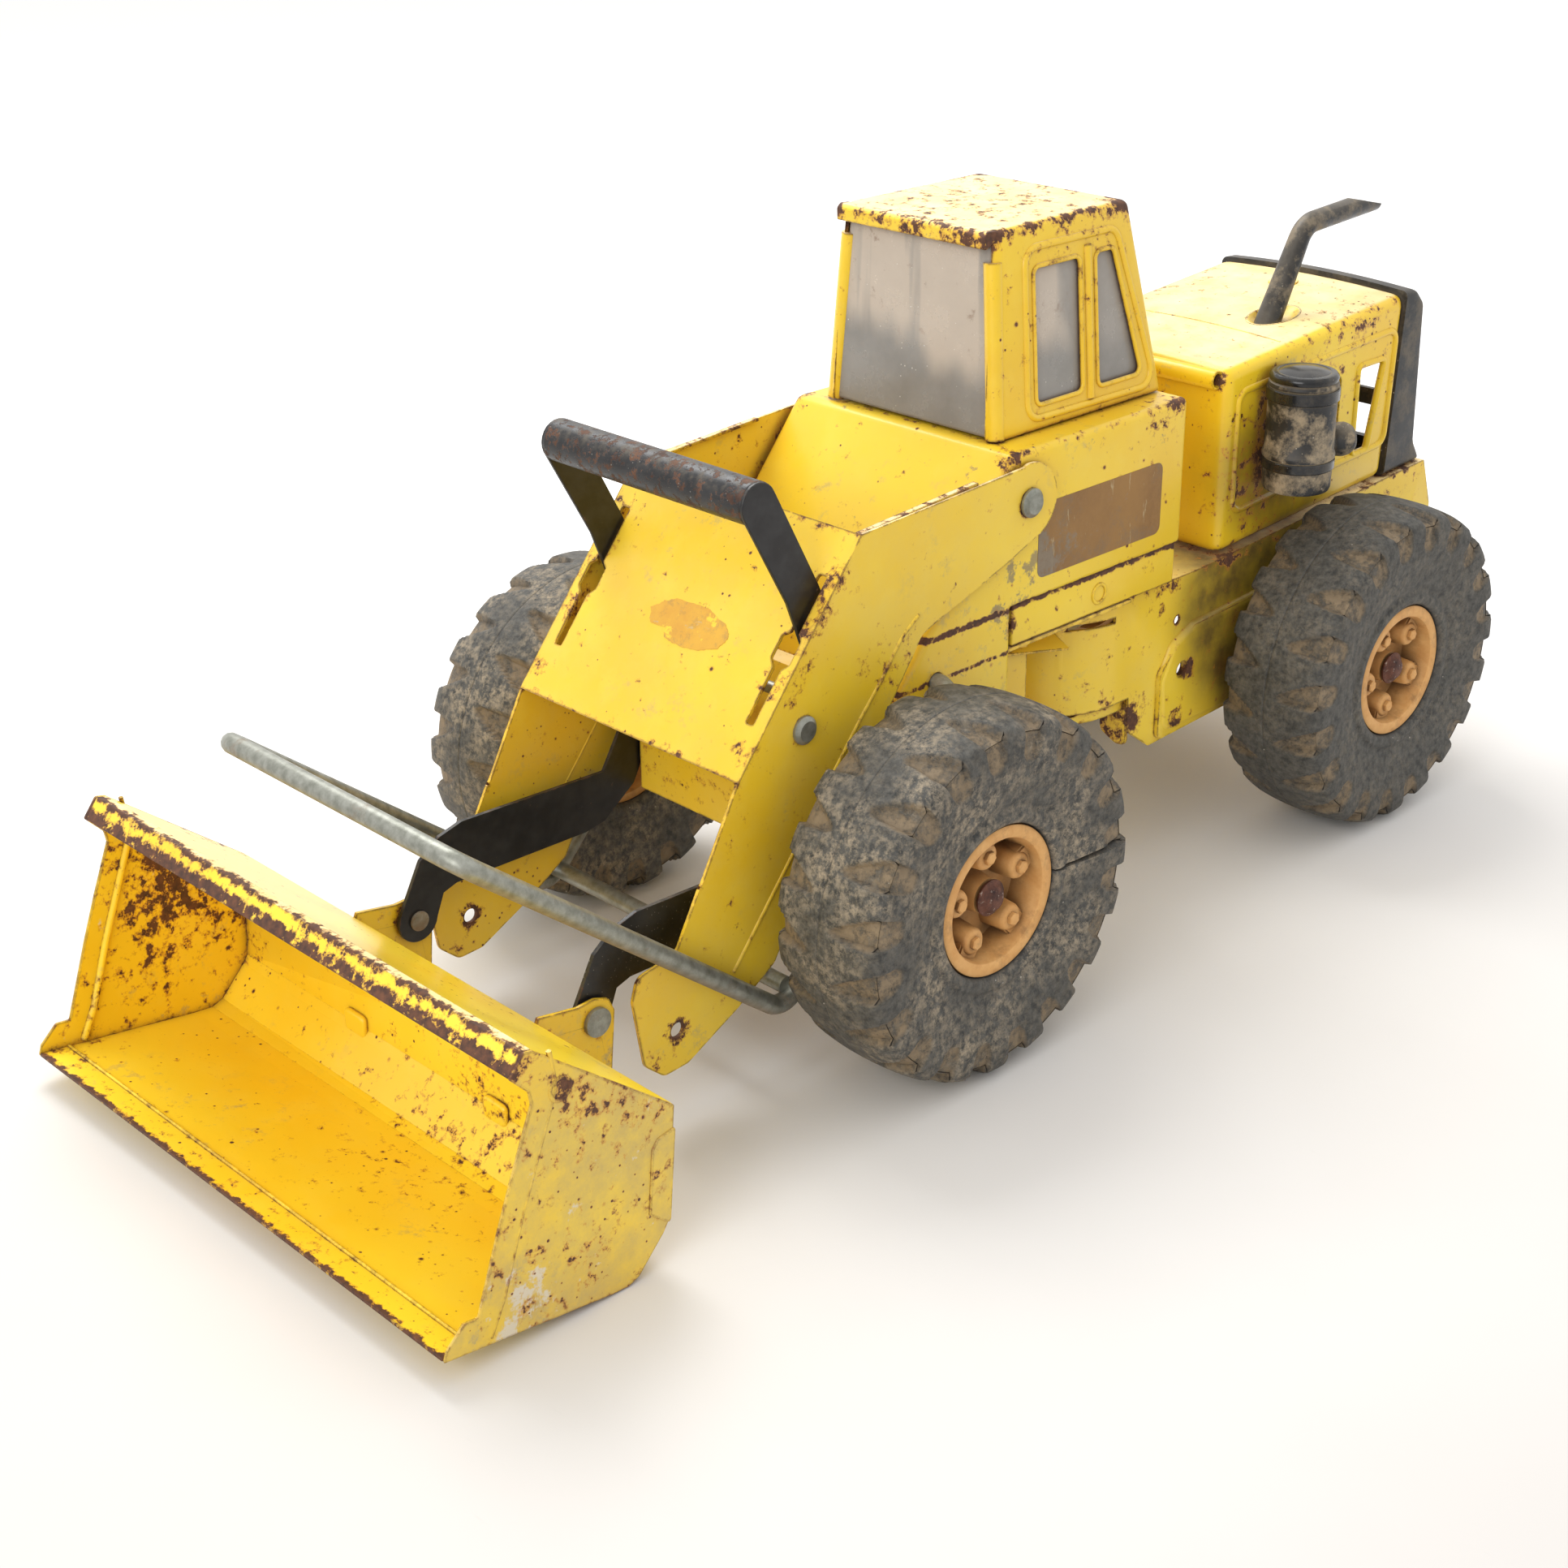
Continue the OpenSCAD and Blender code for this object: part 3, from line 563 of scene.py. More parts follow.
def zinc(name, rust=0.0):
    n = Nodes(name)
    fine = n.noise(260, 5, 0.6)
    n.colour = n.mix(n.ramp(fine, 0.3, 0.7), (0.20, 0.205, 0.17), (0.38, 0.385, 0.34))
    stain = n.ramp(n.noise(45, 6, 0.7, offset=3), 0.60 - rust, 0.74 - rust)
    # faces that point down take the same brown tone as the patches, so the wire is darker underneath
    down = n.less(1.0, n.facing_up(-0.9, -0.1))
    stain = n.most(stain, n.times(down, 0.8))
    n.coat(n.times(stain, 0.7), (0.20, 0.11, 0.05))
    n.bump(fine, 0.05, 0.4)
    return n.finish(n.ramp(stain, 0, 1, 0.42, 0.8), n.ramp(stain, 0, 1, 0.65, 0.1))


def rusty_iron(name):
    n = Nodes(name)
    fine = n.noise(300, 7, 0.7)
    n.colour = n.mix(n.ramp(fine, 0.35, 0.65), (0.035, 0.012, 0.010), (0.16, 0.06, 0.035))
    n.coat(n.ramp(n.noise(500, 3), 0.62, 0.68, 0, 0.6), (0.45, 0.36, 0.30))
    n.bump(fine, 0.3, 0.8)
    return n.finish(0.6, 0.25)


def smoked_film(name):
    """Cloudy grey film: pale and stained above, darker below, with bright dust specks."""
    n = Nodes(name)
    fine = n.noise(35, 6, 0.65)
    lean = n.plus(n.axis(n.at, "Z"), n.times(n.axis(n.at, "X"), 0.18))
    lean = n.plus(lean, n.ramp(n.noise(14, 2, 0.5, stretch=(2.4, 1, 0.4)), 0.3, 0.7, -0.012, 0.012))
    high = n.ramp(lean, 0.208, 0.222, soft=True)
    streak = n.ramp(n.noise(26, 3, 0.5, stretch=(3.0, 1, 0.25), offset=1.3), 0.52, 0.60)
    high = n.times(high, n.less(1.0, n.times(streak, 0.75)))
    n.colour = n.mix(n.ramp(fine, 0.35, 0.65), (0.26, 0.25, 0.235), (0.33, 0.32, 0.305))
    n.coat(high, n.mix(fine, (0.48, 0.41, 0.34), (0.66, 0.58, 0.49)))
    stain = n.times(n.ramp(n.noise(120, 7, 0.72, offset=4), 0.60, 0.72, 0, 0.8), high)
    n.coat(stain, (0.26, 0.17, 0.12))
    # painted shade: corners of the glazing darkened by an ambient-occlusion mask
    n.coat(n.times(n.crevice(5.0), 0.75), (0.16, 0.115, 0.085))
    n.coat(n.ramp(n.specks(560, 0.22, 0.17), 0.0, 0.04, 0, 0.8), (0.80, 0.78, 0.74))
    n.shader.inputs["Transmission Weight"].default_value = 0.08
    n.shader.inputs["IOR"].default_value = 1.4
    n.bump(fine, 0.1, 0.2)
    return n.finish(n.ramp(fine, 0.3, 0.7, 0.16, 0.34))


def worn_decal(name, dark, light, cover=0.66, grey_at=None, seed=0.0):
    """What is left of a sticker: mottled backing, fine light scratches, nicks, and scraped metal near one point."""
    n = Nodes(name)
    tone = n.noise(30, 6, 0.65, offset=seed)
    fine = n.noise(160, 8, 0.76, offset=seed + 2)
    n.colour = n.mix(n.ramp(tone, 0.35, 0.65), dark, light)
    n.coat(n.ramp(fine, 0.44, 0.60, 0, 0.45), light)
    n.coat(n.ramp(n.noise(60, 8, 0.8, offset=seed + 4), 0.52, 0.62, 0, 0.40), (0.17, 0.135, 0.09))
    scratch = n.ramp(n.noise(90, 6, 0.7, stretch=(1, 4.5, 0.8), offset=seed + 9), 0.63, 0.66, 0, 0.55)
    n.coat(scratch, (0.52, 0.42, 0.24))
    if grey_at:
        grey = n.plus(fine, n.near("p", grey_at, 3, 30, 0.24))
        n.coat(n.ramp(grey, 0.62, 0.74, 0, 0.85), n.mix(fine, (0.13, 0.10, 0.07), (0.30, 0.25, 0.18)))
    gone = n.ramp(n.noise(85, 8, 0.74, offset=seed + 5), cover, cover + 0.03)
    n.coat(gone, (0.88, 0.60, 0.04))
    n.bump(fine, 0.05, 0.4)
    return n.finish(n.ramp(tone, 0.3, 0.7, 0.40, 0.62))


def plain_floor(name):
    """Pale paper with painted light: brighter towards the back and darker at the front away from the machine, with a
    few faint scuffs.
    """
    n = Nodes(name)
    # painted light: the floor is brighter towards the back
    lit_back = n.ramp(n.vector("DOT_PRODUCT", n.at, (-0.72, 0.69, 0))["Value"], -0.35, 0.55, soft=True)
    soft = n.noise(5, 4, 0.55)
    n.colour = n.mix(n.ramp(soft, 0.3, 0.7), (0.69, 0.665, 0.635), (0.72, 0.70, 0.675))
    n.coat(lit_back, (0.97, 0.965, 0.96))
    # painted shade: the floor is darker at the front, away from the machine
    reach = n.vector("DISTANCE", n.at, (0, -0.05, 0))["Value"]
    shaded_front = n.times(n.ramp(reach, 0.22, 0.50, soft=True), n.less(1.0, lit_back))
    n.coat(shaded_front, (0.60, 0.575, 0.555))
    scuff = n.ramp(n.noise(26, 6, 0.75, stretch=(1, 7, 1)), 0.66, 0.72, 0, 0.10)
    n.coat(n.times(scuff, n.less(1.0, lit_back)), (0.45, 0.42, 0.39))
    n.shader.inputs["Specular IOR Level"].default_value = 0.2
    return n.finish(n.ramp(soft, 0.3, 0.7, 0.75, 0.9))


def both_sides(x, y, z, inner, outer, amount):
    return [("p", (side * x, y, z), inner, outer, amount) for side in (1, -1)]


def both_edges(x, z, inner, outer, amount):
    return [("y", (side * x, z), inner, outer, amount) for side in (1, -1)]


PAINT = yellow_paint("yellow_paint_hood", seed=0.0, chips=0.02, bleach_and_highlight_above=150, stains=[
    ("x", (319, 198.5), 0.5, 5, 0.05), ("x", (202, 187), 1, 4, 0.05), ("x", (210, 119), 1, 5, 0.12),
    *both_sides(45, 275, 191, 4, 40, 0.05), *both_sides(45, 212, 150, 3, 30, 0.07),
    *both_sides(45, 222, 136, 3, 26, 0.09), *both_sides(45, 300, 193, 3, 20, 0.03),
    ("p", (41, 199, 187), 2, 7, 0.10), *both_edges(45, 195, 1, 9, 0.035),
# soot and painted shadow round the air cleaner
], soot_and_shadow=[((46, 222, 148), 8, 34, 0.85), ((46, 246, 128), 6, 40, 0.8), ((0, 200, 150), 10, 60, 0.22)])
PAINT_ARMS = yellow_paint("yellow_paint_arms", seed=3.0, chips=0.008, dust=0.22, bleach_and_highlight_above=150, stains=[
    ("x", (-63.8, 111.2), 0.4, 3.5, 0.13), *both_sides(56, -92.8, 32.5, 3.0, 7.5, 0.20),
    *both_sides(56, -99, 22, 2, 12, 0.08), *both_sides(56, 75.5, 172, 4.5, 6.5, 0.10),
    *both_sides(56, -34.2, 121.1, 4.5, 6.5, 0.08), *both_sides(53, -40, 138, 1, 16, 0.12),
    *both_sides(53, -20, 165, 1, 18, 0.13), *both_sides(53, -58, 119, 1, 10, 0.11),
    *both_sides(56, 5, 132, 2, 20, 0.07), *both_sides(54, -30, 152, 1, 14, 0.12), ("x", (-7.5, 181), 0.5, 5, 0.10),
])
PAINT_HEM = yellow_paint("yellow_paint_hem", seed=6.0, chips=0.05, edge=1.25, bleach_and_highlight_above=150, stains=[
    *both_sides(55.4, -6, 181, 1, 9, 0.13), *both_sides(56, 34, 183, 4, 44, 0.08),
])
PAINT_WORN = yellow_paint("yellow_paint_body", seed=2.0, chips=0.008, dust=0.12, bleach_and_highlight_above=195, stains=[
    ("x", (74, 259.5), 1, 5.5, 0.12), ("x", (74, 190.5), 0.5, 3, 0.10), ("x", (165, 133), 1, 3, 0.10),
    ("z", (133.2,), 0.5, 2.2, 0.24), ("z", (117.4,), 0.3, 1.6, 0.20), *both_sides(53, 71.5, 126, 0.8, 8, 0.16),
    *both_sides(52, 68, 189, 2, 9, 0.14), *both_sides(36, 146, 260, 3, 14, 0.12), *both_sides(36, 76, 258, 2, 8, 0.14),
    ("x", (11.7, 114), 0.5, 5, 0.10), *both_sides(53, 150, 184, 2, 22, 0.07), *both_edges(35.9, 261.6, 0.5, 4.5, 0.12),
    ("x", (147.5, 261.8), 0.5, 5, 0.12), *both_edges(53, 189.4, 0.3, 3.5, 0.10), *both_sides(53, 160, 188, 2, 12, 0.08),
    *both_sides(0, 112, 262, 20, 60, 0.045),
], scraped=((53.4, 72, 140), (0.22, 0.17, 0.10)))
PAINT_FRAME = yellow_paint("yellow_paint_frame", seed=7.0, chips=0.02, dust=0.2, spots=0.05, bleach_and_highlight_above=112, stains=[
    ("x", (130, 70), 2, 24, 0.07), ("x", (147, 62), 1, 14, 0.13), *both_sides(49, 180, 77.5, 3.4, 7, 0.18),
    *both_sides(47, 175, 98.3, 1.8, 3.6, 0.14), ("x", (205, 117), 1, 14, 0.10), ("z", (123,), 0.4, 2.5, 0.10),
    *both_sides(49, 173.7, 58.4, 2.6, 6.5, 0.16), ("x", (-20, 74), 2, 14, 0.05), *both_sides(48, 166, 113, 1, 14, 0.12),
    *both_sides(48, 152, 66, 1, 12, 0.12), *both_edges(47, 115.6, 0.4, 4, 0.08),
# soot and painted shadow between the frame and the rear wheels
], soot_and_shadow=[((50, 224, 98), 34, 60, 0.94), ((-50, 224, 98), 34, 60, 0.94)])
# a brighter base yellow than the other paints: partly painted light, standing in for the light that falls into the
# bucket
PAINT_BUCKET = yellow_paint("yellow_paint_bucket", seed=5.0, spots=0.16, bleach_and_highlight_above=80, dull=(0.93, 0.60, 0.018),
                            bright=(0.97, 0.72, 0.035), stains=[
    ("x", (-203.6, 88.6), 1.8, 6.0, 0.27), ("x", (-199, 95), 3, 7, 0.09), ("x", (-198.2, 95.4), 0.4, 3.0, 0.12),
    ("x", (-232.5, 9.6), 0.6, 3.6, 0.26),
    ("x", (-226, 10.5), 0.2, 6, 0.07), ("p", (-114, -166, 60), 5, 38, 0.13), ("p", (-113, -152, 22), 2, 22, 0.10),
    ("x", (-158, 8), 0.5, 5, 0.04), ("p", (40, -152, 34), 10, 60, 0.06),
    ("p", (-110, -215, 20), 2, 24, 0.11), ("p", (20, -170, 2), 10, 70, 0.05),
])
PAINT_SIDES = yellow_paint(
    "yellow_paint_bucket_sides", seed=9.0, chips=0.035, dust=0.95, spots=0.16, bleach_and_highlight_above=200, stains=[
        *both_sides(115, -186.7, 78.8, 2.4, 5.2, 0.13), *both_sides(115, -176, 74, 2, 22, 0.035),
        *both_sides(115, -190, 20, 2, 26, 0.07), *both_sides(115, -152, 30, 1, 10, 0.06),
        *both_sides(115, -201, 92, 2, 6, 0.18), ("p", (-113.6, -166, 56), 12, 50, 0.13),
        *both_sides(115, -212, 30, 1, 4, 0.10),
        *both_sides(115, -183, 66, 2, 34, 0.04), *both_sides(115, -160, 60, 2, 26, 0.04),
    ], dust_beyond=114.4, scraped=((115, -205, 14), (0.66, 0.61, 0.52)), edge=1.3, grime=(0.50, 0.365, 0.135))
ENAMEL = black_enamel("black_enamel")
ENAMEL_WORN = black_enamel("black_enamel_worn", 0.14)
PLASTIC = dusty_plastic("black_plastic", 0.25)
PLASTIC_DUSTY = dusty_plastic("dusty_plastic", 0.88)
PLASTIC_STACK = dusty_plastic("stack_plastic", 0.5, 0.3)
PLASTIC_SHINY = dusty_plastic("shiny_plastic", 0.08, 0.18, 0.25)
RUBBER_FRONT, RUBBER_REAR = rubber("tyre_rubber_front"), rubber("tyre_rubber_rear", 0.3)
HUB = hub_plastic("hub_plastic")
ZINC = zinc("zinc_wire")
RIVET = zinc("rivet_steel", rust=-0.1)
RIVET_BROWN = zinc("rivet_brown", rust=0.16)
IRON = rusty_iron("rusty_iron")
FILM = smoked_film("smoked_film")


def paint_node(node, material, width=0.35, angle=35):
    """A CAD node whose shape is right keeps it, with softened edges."""
    obj = frame["nodes"][node]
    obj.data.materials.clear()
    obj.data.materials.append(material)
    soften(obj, width, 2, angle)
    return obj


# ---------------------------------------------------------------- wheels

TYRE_PROFILE = [
    (27.0, 17.4), (27.6, 19.4), (29.2, 20.2), (31.5, 20.3), (32.6, 19.6), (34.0, 19.7), (36, 20.4),
    (40, 20.9), (44, 21.6), (48, 22.2), (52, 22.7), (56, 22.9), (59, 22.8), (61.2, 22.2), (62.9, 20.8),
    (63.8, 18.8), (64.5, 16.4), (65.0, 13.5), (65.4, 10), (65.7, 6), (65.8, 2), (65.8, 0.35), (65.55, 0),
]
POCKETS = 20
# pocket outline from the crown outward: distance from the middle line, its two edges, its depth
POCKET = [
    (4.5, 1.2, 2.4, 0.6), (7, -0.4, 3.3, 1.6), (12, -3.2, 3.8, 2.4), (18, -6.0, 4.0, 3.0),
    (22, -7.2, 3.6, 3.2), (27, -6.6, 3.0, 2.4), (32, -5.4, 2.4, 1.6), (35, -3.4, 0.6, 0.8),
]


def dense(profile, step):
    """The profile with points no further apart than step."""
    out = [profile[0]]
    for a, b in zip(profile, profile[1:]):
        n = max(1, math.ceil(math.dist(a, b) / step))
        out += [(a[0] + (b[0] - a[0]) * k / n, a[1] + (b[1] - a[1]) * k / n) for k in range(1, n + 1)]
    return out


def pocket_depth(s, w):
    """Depth of a tread pocket s mm out from the middle line and w mm round from the pocket's own line."""
    if not POCKET[0][0] < s < POCKET[-1][0]:
        return 0.0
    for a, b in zip(POCKET, POCKET[1:]):
        if s <= b[0]:
            t = (s - a[0]) / (b[0] - a[0])
            low, high, depth = (a[i] + (b[i] - a[i]) * t for i in (1, 2, 3))
            break
    inside = min(w - low, high - w, (s - POCKET[0][0]) * 0.8, (POCKET[-1][0] - s) * 0.8)
    t = max(0.0, min(1.0, inside / 0.9 + 0.15))
    return depth * t * t * (3 - 2 * t)


PER_POCKET = 22  # segments round the tyre for each pocket
SHOULDER = 22  # mm out from the middle line
CRACK_AT, CRACK_DEPTH = math.radians(3.0), 5


def tyre_mesh(name, cracked=False):
    half = dense(TYRE_PROFILE, 1.15)
    profile = half + [(r, -x) for r, x in reversed(half[:-1])]
    middle = len(half) - 1
    along = [0.0] * len(profile)
    for i in range(middle + 1, len(profile)):
        along[i] = along[2 * middle - i] = along[i - 1] + math.dist(profile[i - 1], profile[i])
    bm = bmesh.new()
    layer = bm.verts.layers.float.new("pocket")
    rings = []
    for k, a in enumerate(turns(POCKETS * PER_POCKET)):
        ring = []
        for i, (r, x) in enumerate(profile):
            phase = (k / PER_POCKET + (0.0 if i < middle else 0.5)) % 1.0
            w = (phase - 0.5) * 2 * math.pi * max(r, 50) / POCKETS
            d = pocket_depth(along[i], w)
            inward = 1.0 if along[i] < SHOULDER + 2 else 0.25
            sideways = math.copysign(0.75 if along[i] > SHOULDER else 0.075, x) if abs(x) > 6 else 0.0
            rr = r - d * inward
            xx = x - d * sideways
            if cracked and x > 4:
                off = (a - CRACK_AT + math.pi) % (2 * math.pi) - math.pi
                wide = 0.9 * (r - 26) / 40 + 0.25
                bite = CRACK_DEPTH * max(0.0, 1 - abs(off) * r / wide)
                xx -= bite if r < 62 else 0
                rr -= bite if r >= 60 else 0
            v = bm.verts.new(Vector((xx, rr * math.cos(a), rr * math.sin(a))) * MM)
            v[layer] = min(1.0, d)
            ring.append(v)
        rings.append(ring)
    skin(bm, rings, True, False)
    return take_mesh(smooth(mesh_object(name, bm), 50))


HUB_FACE = 18.7


def hub_mesh(name):
    rim = revolve("rim", [
        (24.0, -17), (26.9, -17), (26.9, 17.6), (26.6, 18.4), (25.8, HUB_FACE), (23.0, HUB_FACE),
        (22.2, 18.3), (21.7, 17.2), (20.3, 6.4), (18.5, 5.6), (7.4, 5.2), (6.9, 6.5), (6.2, 13.2), (2.6, 13.6),
        (2.6, -19), (7.0, -19), (7.0, 1.5), (24.0, 1.5),
    ], 96, closed=True)
    parts = [rim]
    for k in range(5):
        a = math.radians(90 + 72 * k)
        centre = Vector((0, 15.8 * math.cos(a), 15.8 * math.sin(a)))
        turn = Matrix.Rotation(a, 4, "X")
        lug = revolve("lug", [(0, 15.2), (3.6, 15.2), (4.4, 14.8), (4.9, 13.8), (5.6, 5.0), (0, 5.0)], 28)
        lug.location = centre * MM
        bm = bmesh.new()
        bmesh.ops.create_cube(bm, size=1.0, matrix=turn @ Matrix.Translation(Vector((9.8, 19.0, 0)) * MM)
                              @ Matrix.Diagonal(Vector((9.2, 7.0, 9.4)) * MM).to_4x4())
        bmesh.ops.bevel(bm, geom=bm.edges[:], offset=0.7 * MM, segments=2, affect="EDGES")
        bridge = mesh_object("bridge", bm, outward=False)
        bolt = revolve("bolt", [(0, 17.0), (1.9, 17.0), (2.4, 16.6), (2.5, 15.0), (0, 15.0)], 6)
        bolt.location = centre * MM
        bolt.rotation_euler = (a + 0.3, 0, 0)
        parts += [lug, bridge, bolt]
    bpy.context.view_layer.update()
    return take_mesh(smooth(join(name, parts), 38))


TYRE, TYRE_CRACKED, HUB_MESH = tyre_mesh("tyre"), tyre_mesh("tyre_cracked", True), hub_mesh("hub")
CAP = take_mesh(smooth(revolve("cap", [
    (2.6, 14.3), (6.2, 14.3), (6.4, 14.6), (6.4, 15.2), (5.9, 15.6), (5.2, 15.8), (4.7, 16.6),
    (3.6, 17.6), (2.0, 17.95), (0, 18.0),
], 40), 50))


def wheel_piece(name, mesh, material, where, body, side, turn, *nodes):
    mesh = mesh.copy()
    mesh.transform(Euler((math.radians(turn), 0, math.pi if side < 0 else 0)).to_matrix().to_4x4())
    mesh.materials.append(material)
    obj = add_object(name, mesh)
    obj.location = where
    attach(obj, body)
    if nodes:
        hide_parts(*nodes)
    return obj


WHEEL_TURN = {"front_left": 0, "front_right": 40, "rear_left": 22, "rear_right": 70}
for corner, turn in WHEEL_TURN.items():
    centre = Vector(JOINT["roll_" + corner]["pos_m"])
    side = 1 if corner.endswith("left") else -1
    body = "wheel_" + corner
    tyre = TYRE_CRACKED if corner == "front_left" else TYRE
    rubber_here = RUBBER_FRONT if "front" in corner else RUBBER_REAR
    wheel_piece("tyre_" + corner + "_tread", tyre, rubber_here, centre, body, side, turn, "tyre_" + corner)
    wheel_piece("hub_" + corner + "_moulding", HUB_MESH, HUB, centre, body, side, turn + 7, "hub_" + corner)
for axle in ("front", "rear"):
    caps = []
    for hand, side in (("left", 1), ("right", -1)):
        centre = Vector(JOINT[f"roll_{axle}_{hand}"]["pos_m"])
        caps.append(wheel_piece(f"{axle}_cap_{hand}", CAP, IRON, centre, axle + "_chassis", side, 0))
    for cap in caps:
        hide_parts(axle + "_axle_caps")
    paint_node(axle + "_axle", ZINC, 0.2)

# ---------------------------------------------------------------- cab


def no_floor(normal, centre):
    return normal.z < -0.7


CAB_FOOT, CAB_TOP = 189.6, 261.9
CAB_HALF, CAB_LEAN = 41.8, 6.0 / 72.3


def cab_side(z):
    """How far out the cab's side sheet is at height z."""
    return CAB_HALF - (z - CAB_FOOT) * CAB_LEAN


PANE_FRONT = [(94.5, 199), (120, 199), (120, 247), (95, 247)]
PANE_REAR = [(128, 199), (153, 199), (138.2, 247), (128, 247)]
shell = pressed_shell(
    "cab_pressing", [(72.2, CAB_FOOT), (165, CAB_FOOT), (147.6, CAB_TOP), (75.2, CAB_TOP)],
    CAB_HALF, 2.6, no_floor, lambda z: cab_side(z) / CAB_HALF, posts=5.5,
)
cut(shell, [
    prism_y(fillet([(-37.2, 185), (37.2, 185), (34.4, 257.2), (-34.4, 257.2)], 1), 60, 77.2),
    prism(fillet(PANE_FRONT, 3), -60, 60), prism(fillet(PANE_REAR, 3), -60, 60),
    prism_y(fillet([(-30, 202), (30, 202), (26, 250), (-26, 250)], 4), 140, 175),
])
dress(smooth(soften(shell, 0.3)), PAINT_WORN, "front_chassis", "cab_shell")
# roof lip over the windshield
lip = prism(fillet([(72.4, 256.2), (73.4, 256.0), (79, 259), (79, 261.6), (74, 262.0), (72.3, 260.5)], 1.4),
            -cab_side(259) + 1, cab_side(259) - 1)
dress(smooth(soften(mesh_object("roof_lip", lip), 0.8, 3)), PAINT_WORN, "front_chassis")


def on_cab(points, side, proud=0.0):
    return [place(side * (cab_side(z) + proud), y, z) for y, z in points]


for side, hand in HANDS:
    frame_bead = fillet([(90, 194.6), (160.6, 193.6), (139.8, 253.4), (91, 253.6)], 6)
    tube("cab_frame_bead_" + hand, on_cab(frame_bead, side, -0.5), 1.5, PAINT_WORN, "front_chassis", True)
    for pane, outline in (("front", PANE_FRONT), ("rear", PANE_REAR)):
        tube(f"pane_bead_{pane}_{hand}", on_cab(fillet(outline, 3), side, -0.1), 0.9, PAINT_WORN, "front_chassis", True)
    tube("cab_mullion_" + hand, on_cab([(124, 196), (124, 250)], side, -0.7), 2.0, PAINT_WORN, "front_chassis")
    post = [place(side * (cab_side(z) - 3.0), 76.0 + (z - 190) * 0.035, z) for z in (190.4, 210, 235, 251)]
    tube("cab_post_" + hand, post, 3.3, PAINT_WORN, "front_chassis")
glazing = pressed_shell(
    "cab_glazing_box", [(74.2, 190.3), (163.4, 190.3), (146.4, 260.5), (76.8, 260.5)], CAB_HALF - 1.3, 1.8, no_floor,
    lambda z: (cab_side(z) - 1.3) / (CAB_HALF - 1.3), posts=4.6, thick=0.9,
)
dress(glazing, FILM, "front_chassis", "cab_glazing")

# ---------------------------------------------------------------- cab base


def open_base(normal, centre):
    """The base has no floor, and below its step the back is open for the rear frame's nose."""
    return no_floor(normal, centre) or normal.y > 0.7 and centre.z < 133 * MM


base = pressed_shell("cab_base_pressing", [
    (11.7, 86), (11.7, 115), (23, 128.6), (30, 138), (47.7, 163.5), (69.4, 189.8), (166.3, 189.8), (166.3, 133.2),
    (70.7, 133.2), (70.7, 86),
], 53.3, 2.6, open_base)
cut(base, [bore((32, 117), 3.6, 20), bore((75.5, 172), 3.0, 20)])
dress(smooth(soften(base, 0.3)), PAINT_WORN, "front_chassis", "cab_base")
strip = pressed_shell(
    "base_strip", [(72.4, 134), (165, 134), (165, 117.8), (72.4, 117.8)], 51.9, 1.2,
    lambda normal, centre: abs(normal.z) > 0.7,
)
dress(smooth(soften(strip, 0.3)), PAINT_WORN, "front_chassis")


def ring(name, x, centre, radius, thick, material, body):
    points = [place(x, y, z) for y, z in arc(centre, radius, 0, 360, 28)[:-1]]
    return tube(name, points, thick, material, body, True)


for side, hand in HANDS:
    ring("base_stamp_" + hand, side * 51.9, (120.6, 125.2), 3.6, 0.7, PAINT_WORN, "front_chassis")

DECAL_SIDE = worn_decal("decal_side", (0.235, 0.115, 0.028), (0.33, 0.175, 0.05), 0.70, (53, 84, 146), 1.0)
DECAL_ARM = worn_decal("decal_arm", (0.62, 0.30, 0.035), (0.74, 0.42, 0.04), 0.565, None, 4.0)
for side, hand in HANDS:
    outline = fillet([(83.6, 141), (152.5, 141), (152.5, 168.5), (83.6, 168.5)], 3.2)
    label = mesh_object("side_decal_" + hand, prism(outline, side * 53.1, side * 53.42))
    dress(label, DECAL_SIDE, "front_chassis")

# ---------------------------------------------------------------- hood

HOOD_HALF = half_width("hood")
HOOD_CROWN = 1.8
DENT = (20, 263, 8.2, 13.5)  # centre and half sizes of the dent round the exhaust
ROUND = 40  # points round it
hood = pressed_shell(
    "hood_pressing", [(200.2, 117.0), (312.2, 123.2), (318.4, 199.0), (200.2, 190.2)], HOOD_HALF, 4.6,
    lambda normal, centre: normal.z < -0.7 or normal.y > 0.9, crown=HOOD_CROWN,
)
REAR_OPENING = [(288, 137.5), (298.8, 138), (307, 175.2), (288, 175.2)]
cut(hood, [
    prism(fillet(REAR_OPENING, 2.5), -60, 60),
    prism(fillet([(244, 136), (276, 137.5), (276.5, 173.8), (244, 172.4)], 2.5), -60, 60),
    bore((209, 139.7), 1.6, 16, 30),
    prism(fillet([(204.5, 170), (211.2, 170.8), (211.2, 172.3), (204.5, 171.5)], 0.6), 30, 60),
    prism_z(oval(*DENT, ROUND), 188, 206),
])
dress(smooth(soften(hood, 0.3)), PAINT, "rear_chassis", "hood")
for side, hand in HANDS:
    panel = fillet([(208, 133), (311, 138.5), (313.5, 186), (208, 181)], 5)
    tube("hood_bead_" + hand, [place(side * (HOOD_HALF - 0.75), y, z) for y, z in panel], 1.7, PAINT,
         "rear_chassis", True)
    opening = fillet(REAR_OPENING, 2.5)
    tube("hood_opening_bead_" + hand, [place(side * (HOOD_HALF - 0.5), y, z) for y, z in opening], 1.5, PAINT,
         "rear_chassis", True)
roll = revolve("hood_front_roll", [
    (0, -42), (3.3, -42), (3.7, -41.6), (3.7, 41.0), (3.5, 41.5), (2.8, 41.5), (2.6, 41.1), (2.6, 33), (0, 33),
], 28)
roll.location = place(0, 199.2, 186.8)
